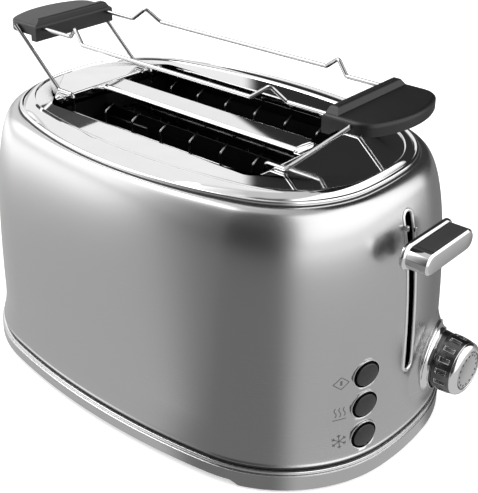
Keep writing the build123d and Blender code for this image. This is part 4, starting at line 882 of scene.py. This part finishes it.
# Button marks
# Plain printed marks on the wall beside the buttons: a stop diamond, steam over a line and a snowflake. They
# are thin raised lines of grey ink that follow the curve of the wall.
MARK_Y, MARK_WIDTH = -49.0, 0.5
MARK_PROUD, MARK_THICKNESS = 0.05, 0.06
DIAMOND_Z, DIAMOND_HALF_WIDTH, DIAMOND_HALF_HEIGHT = 65.0, 4.2, 3.8
BAR_LOW, BAR_HIGH, BAR_WIDTH = 63.8, 66.6, 1.1
STEAM_Z, STEAM_HEIGHT, STEAM_SWAY, STEAM_APART, STEAM_STEPS = 43.4, 6.0, 0.6, 2.4, 12
STEAM_LINE_Z, STEAM_LINE_HALF = 41.6, 3.6
SNOW_Z, SNOW_ARMS, SNOW_REACH, SNOW_FORK, SNOW_TWIG, SNOW_LEAN = 27.3, 6, 4.3, 2.7, 1.4, 0.7


def on_wall(y, z):
    """The place on the casing's control end, a little proud of the steel."""
    _, place, normal, _ = casing.ray_cast(Vector((0.3, y * MM, z * MM)), Vector((-1, 0, 0)))
    return place + normal * MARK_PROUD * MM


def printed_line(points, width=MARK_WIDTH):
    """A thin raised line through (y, z) points."""
    bpy.ops.object.select_all(action="DESELECT")
    bpy.ops.mesh.primitive_grid_add(x_subdivisions=len(points) - 1, y_subdivisions=1)
    line = bpy.context.object
    for number, (y, z) in enumerate(points):
        before = points[max(number - 1, 0)]
        after = points[min(number + 1, len(points) - 1)]
        along_y, along_z = after[0] - before[0], after[1] - before[1]
        length = hypot(along_y, along_z)
        for row, side in enumerate((-0.5, 0.5)):
            shift = side * width / length
            vertex = line.data.vertices[row * len(points) + number]
            vertex.co = on_wall(y - along_z * shift, z + along_y * shift)
    thick = line.modifiers.new("thick", "SOLIDIFY")
    thick.thickness = MARK_THICKNESS * MM
    bpy.ops.object.modifier_apply(modifier="thick")
    return line


def straight(first, second, steps=5):
    return [blend(first, second, step / steps) for step in range(steps + 1)]


def away_from(y, z, distance, turn):
    """The (y, z) point at a distance and a turn from another."""
    return y + distance * cos(turn), z + distance * sin(turn)


marks = []
corners = [(MARK_Y - DIAMOND_HALF_WIDTH, DIAMOND_Z), (MARK_Y, DIAMOND_Z + DIAMOND_HALF_HEIGHT),
           (MARK_Y + DIAMOND_HALF_WIDTH, DIAMOND_Z), (MARK_Y, DIAMOND_Z - DIAMOND_HALF_HEIGHT)]
for first, second in zip(corners, corners[1:] + corners[:1]):
    marks.append(printed_line(straight(first, second)))
marks.append(printed_line(straight((MARK_Y, BAR_LOW), (MARK_Y, BAR_HIGH)), BAR_WIDTH))
for wave_y in (-STEAM_APART, 0.0, STEAM_APART):
    wave = []
    for step in range(STEAM_STEPS + 1):
        share = step / STEAM_STEPS
        wave.append((MARK_Y + wave_y + STEAM_SWAY * sin(2 * pi * share), STEAM_Z + STEAM_HEIGHT * share))
    marks.append(printed_line(wave))
ends = [(MARK_Y + side * STEAM_LINE_HALF, STEAM_LINE_Z) for side in (-1, 1)]
marks.append(printed_line(straight(*ends)))
for arm_number in range(SNOW_ARMS):
    turn = 2 * pi * (arm_number + 0.5) / SNOW_ARMS
    marks.append(printed_line(straight((MARK_Y, SNOW_Z), away_from(MARK_Y, SNOW_Z, SNOW_REACH, turn))))
    fork = away_from(MARK_Y, SNOW_Z, SNOW_FORK, turn)
    for lean in (-SNOW_LEAN, SNOW_LEAN):
        marks.append(printed_line(straight(fork, away_from(*fork, SNOW_TWIG, turn + lean), 2)))
mark_grey = moulded_plastic("printed_grey", 0.12, 0.5, 900.0, 0.05)
marks = joined("button_marks", *marks)
wear(marks, mark_grey, "toaster")


# Dial
# The browning dial: a chrome flange on the casing's boss, a dark barrel with fifteen grip notches, a polished
# end ring and a satin face with a ring of dots.
BOSS_X = wall_x(DIAL_Y, DIAL_Z) + BOSS_RISE
# Outlines about the dial's axis are places along X and radii.
DIAL_BORE, FLANGE_BORE = 3.1, 3.2
ROLL_RADIUS, ROLL_LENGTH, ROLL_DEPTH = 21.2, 2.8, 3.1
ROLL_STEPS, DIAL_STEPS = 12, 128
flange_outline = [(BOSS_X - 6, FLANGE_BORE), (BOSS_X - 6, 20.0), (BOSS_X - 0.5, 20.6), (BOSS_X - 0.2, 21.2),
                  (BOSS_X + 0.2, 21.5), (BOSS_X + 0.6, 21.5), (BOSS_X + 0.9, 21.3)]
for step in range(1, ROLL_STEPS + 1):
    turn = pi / 2 * step / ROLL_STEPS
    x = BOSS_X + 0.95 + ROLL_LENGTH * (1 - cos(turn))
    flange_outline.append((x, ROLL_RADIUS - ROLL_DEPTH * sin(turn)))
flange_outline += [(BOSS_X + 3.95, 18.0), (BOSS_X + 4.0, 17.8), (BOSS_X + 3.9, 17.6), (BOSS_X + 1.0, 17.5)]
flange_outline.append((BOSS_X + 1.0, FLANGE_BORE))
flange = spun("dial_flange", flange_outline, DIAL_Y, DIAL_Z, DIAL_STEPS)
for vertex in flange.data.vertices:
    vertex.co.x += (wall_x(vertex.co.y / MM, DIAL_Z) - wall_x(DIAL_Y, DIAL_Z)) * MM
wear(flange, chrome, "toaster", "dial_bezel")

DIAL_BACK, BEVEL_X, DIAL_FACE = CENTRE_X + 153.2, CENTRE_X + 164.8, CENTRE_X + 168.1
GRIP_RADIUS, BEVEL_RADIUS, POCKET_RADIUS, POCKET_X = 16.9, 15.9, 11.4, DIAL_FACE - 1.6
NOTCHES, NOTCH_HALF_LENGTH, NOTCH_HALF_WIDTH, NOTCH_DEPTH = 15, 3.1, 1.35, 1.2
NOTCH_X = DIAL_BACK + 5.9
BARREL_STEPS, BARREL_EDGE = 120, 0.22
barrel_outline = [(BOSS_X + 1.4, DIAL_BORE), (BOSS_X + 1.4, 16.8), (DIAL_BACK - 0.6, 16.3), (DIAL_BACK, 16.0),
                  (DIAL_BACK, 16.6), (DIAL_BACK + 0.5, GRIP_RADIUS), (DIAL_BACK + 4.0, GRIP_RADIUS),
                  (DIAL_BACK + 8.0, GRIP_RADIUS - 0.3), (BEVEL_X, BEVEL_RADIUS), (BEVEL_X, POCKET_RADIUS),
                  (POCKET_X, POCKET_RADIUS), (POCKET_X, DIAL_BORE)]
barrel = spun("dial_grip", barrel_outline, DIAL_Y, DIAL_Z, BARREL_STEPS)
notch_cutters = []
for number in range(NOTCHES):
    notch = block("notch_cutter", (-NOTCH_HALF_LENGTH, -NOTCH_HALF_WIDTH, GRIP_RADIUS - NOTCH_DEPTH),
                  (NOTCH_HALF_LENGTH, NOTCH_HALF_WIDTH, GRIP_RADIUS + 2))
    middle = Vector((NOTCH_X, DIAL_Y, DIAL_Z)) * MM
    set_in(notch, Matrix.Translation(middle) @ Matrix.Rotation(2 * pi * (number + 0.25) / NOTCHES, 4, "X"))
    notch_cutters.append(notch)
cut(barrel, joined("notch_cutters", *notch_cutters))
barrel_metal = plain_metal("barrel_metal", 0.17, 0.26)
wear(barrel, barrel_metal, "dial", "dial_barrel")
barrel.data.materials.append(chrome)
soften(barrel, BARREL_EDGE, segments=2, angle=40, material=1)

RING_BORE, RING_LENGTH, RING_DEPTH = 11.5, 3.0, 3.8
# The ring's round is a little flatter than a quarter of an oval.
LENGTH_POWER, DEPTH_POWER = 1.15, 0.85
ring_outline = [(BEVEL_X, RING_BORE), (BEVEL_X, BEVEL_RADIUS - 0.15), (BEVEL_X + 0.15, BEVEL_RADIUS)]
for step in range(1, ROLL_STEPS + 1):
    turn = pi / 2 * step / ROLL_STEPS
    x = BEVEL_X + 0.3 + RING_LENGTH * sin(turn) ** LENGTH_POWER
    ring_outline.append((x, BEVEL_RADIUS - RING_DEPTH * (1 - cos(turn)) ** DEPTH_POWER))
ring_outline += [(DIAL_FACE - 0.05, RING_BORE + 0.4), (DIAL_FACE - 0.25, RING_BORE + 0.15)]
ring_outline += [(DIAL_FACE - 1.5, RING_BORE + 0.1), (DIAL_FACE - 1.5, RING_BORE)]
end_ring = spun("dial_ring", ring_outline, DIAL_Y, DIAL_Z, DIAL_STEPS)
wear(end_ring, chrome, "dial", "dial_end_ring")

FACE_RADIUS = 10.9
cap_outline = [(POCKET_X, 0), (POCKET_X, FACE_RADIUS), (DIAL_FACE - 0.55, FACE_RADIUS),
               (DIAL_FACE - 0.3, FACE_RADIUS - 0.1), (DIAL_FACE - 0.2, FACE_RADIUS - 0.4),
               (DIAL_FACE - 0.3, FACE_RADIUS - 0.7), (DIAL_FACE - 0.3, 0)]
cap = spun("dial_cap", cap_outline, DIAL_Y, DIAL_Z)
satin_face = plain_metal("satin_face", 0.72, 0.3)
wear(cap, satin_face, "dial", "dial_face")

DOT_RADIUS, DOT_CIRCLE, DOTS, DOT_STEPS = 0.75, 9.4, 16, 16
dot_outline = [(DIAL_FACE - 0.4, 0), (DIAL_FACE - 0.4, DOT_RADIUS), (DIAL_FACE - 0.25, DOT_RADIUS - 0.05),
               (DIAL_FACE - 0.22, 0)]
dots = []
for number in range(DOTS):
    dot_y, dot_z = away_from(DIAL_Y, DIAL_Z, DOT_CIRCLE, 2 * pi * number / DOTS)
    dots.append(spun("dial_dot", dot_outline, dot_y, dot_z, DOT_STEPS))
dots = joined("dial_dots", *dots)
wear(dots, black, "dial")


# Finishes of the pieces that keep their shape
# The rack, the wire cages and everything inside or under the body keep the solids' shape. The rack is chromed
# rod with moulded handles, and the parts inside the body are near black, painted shade for the dark slots.
def paint(node, material):
    """Give a plain solid its finish."""
    piece = frame["nodes"][node]
    for slot in piece.material_slots:
        slot.material = material
    if not piece.material_slots:
        piece.data.materials.append(material)


satin_chrome = plain_metal("satin_chrome", 0.66, 0.3)
zinc = plain_metal("zinc_steel", 0.45, 0.4)
wire = plain_metal("guide_wire", 0.3, 0.25)
rack_chrome = plain_metal("rack_chrome", 0.5, 0.08)
handle_black = moulded_plastic("handle_plastic", 0.006, 0.4, 1400.0, 0.25)
mica = moulded_plastic("mica", 0.45, 0.6, 200.0, 0.1)
LOOKS = {
    "brushed_steel": steel.data, "mirror_steel": mirror, "satin_trim": satin, "polished_chrome": chrome,
    "satin_chrome": satin_chrome, "rack_chrome": rack_chrome, "guide_wire": wire, "zinc_steel": zinc,
    "black_plastic": black, "handle_plastic": handle_black, "gloss_black": gloss, "black_rubber": black,
    "mica": mica, "heater_alloy": wire, "magnet_iron": zinc, "copper_winding": wire, "board_green": black,
}
for part in frame["record"]["subparts"]:
    paint(part["node"], LOOKS[part["material_slot"]])
# The end plates, reflectors, heaters, bread rests, slider and rods are near black: painted shade inside the
# body.
inside_shade = plain_metal("inside_shade_steel", 0.035, 0.5)
for node in ("left_end_plate", "right_end_plate", "front_reflector", "back_reflector",
             "front_heater_card", "centre_heater_card", "back_heater_card",
             "front_heater_ribbon", "centre_heater_ribbons", "back_heater_ribbon",
             "front_bread_rest", "back_bread_rest", "carriage_slider", "guide_rods"):
    paint(node, inside_shade)
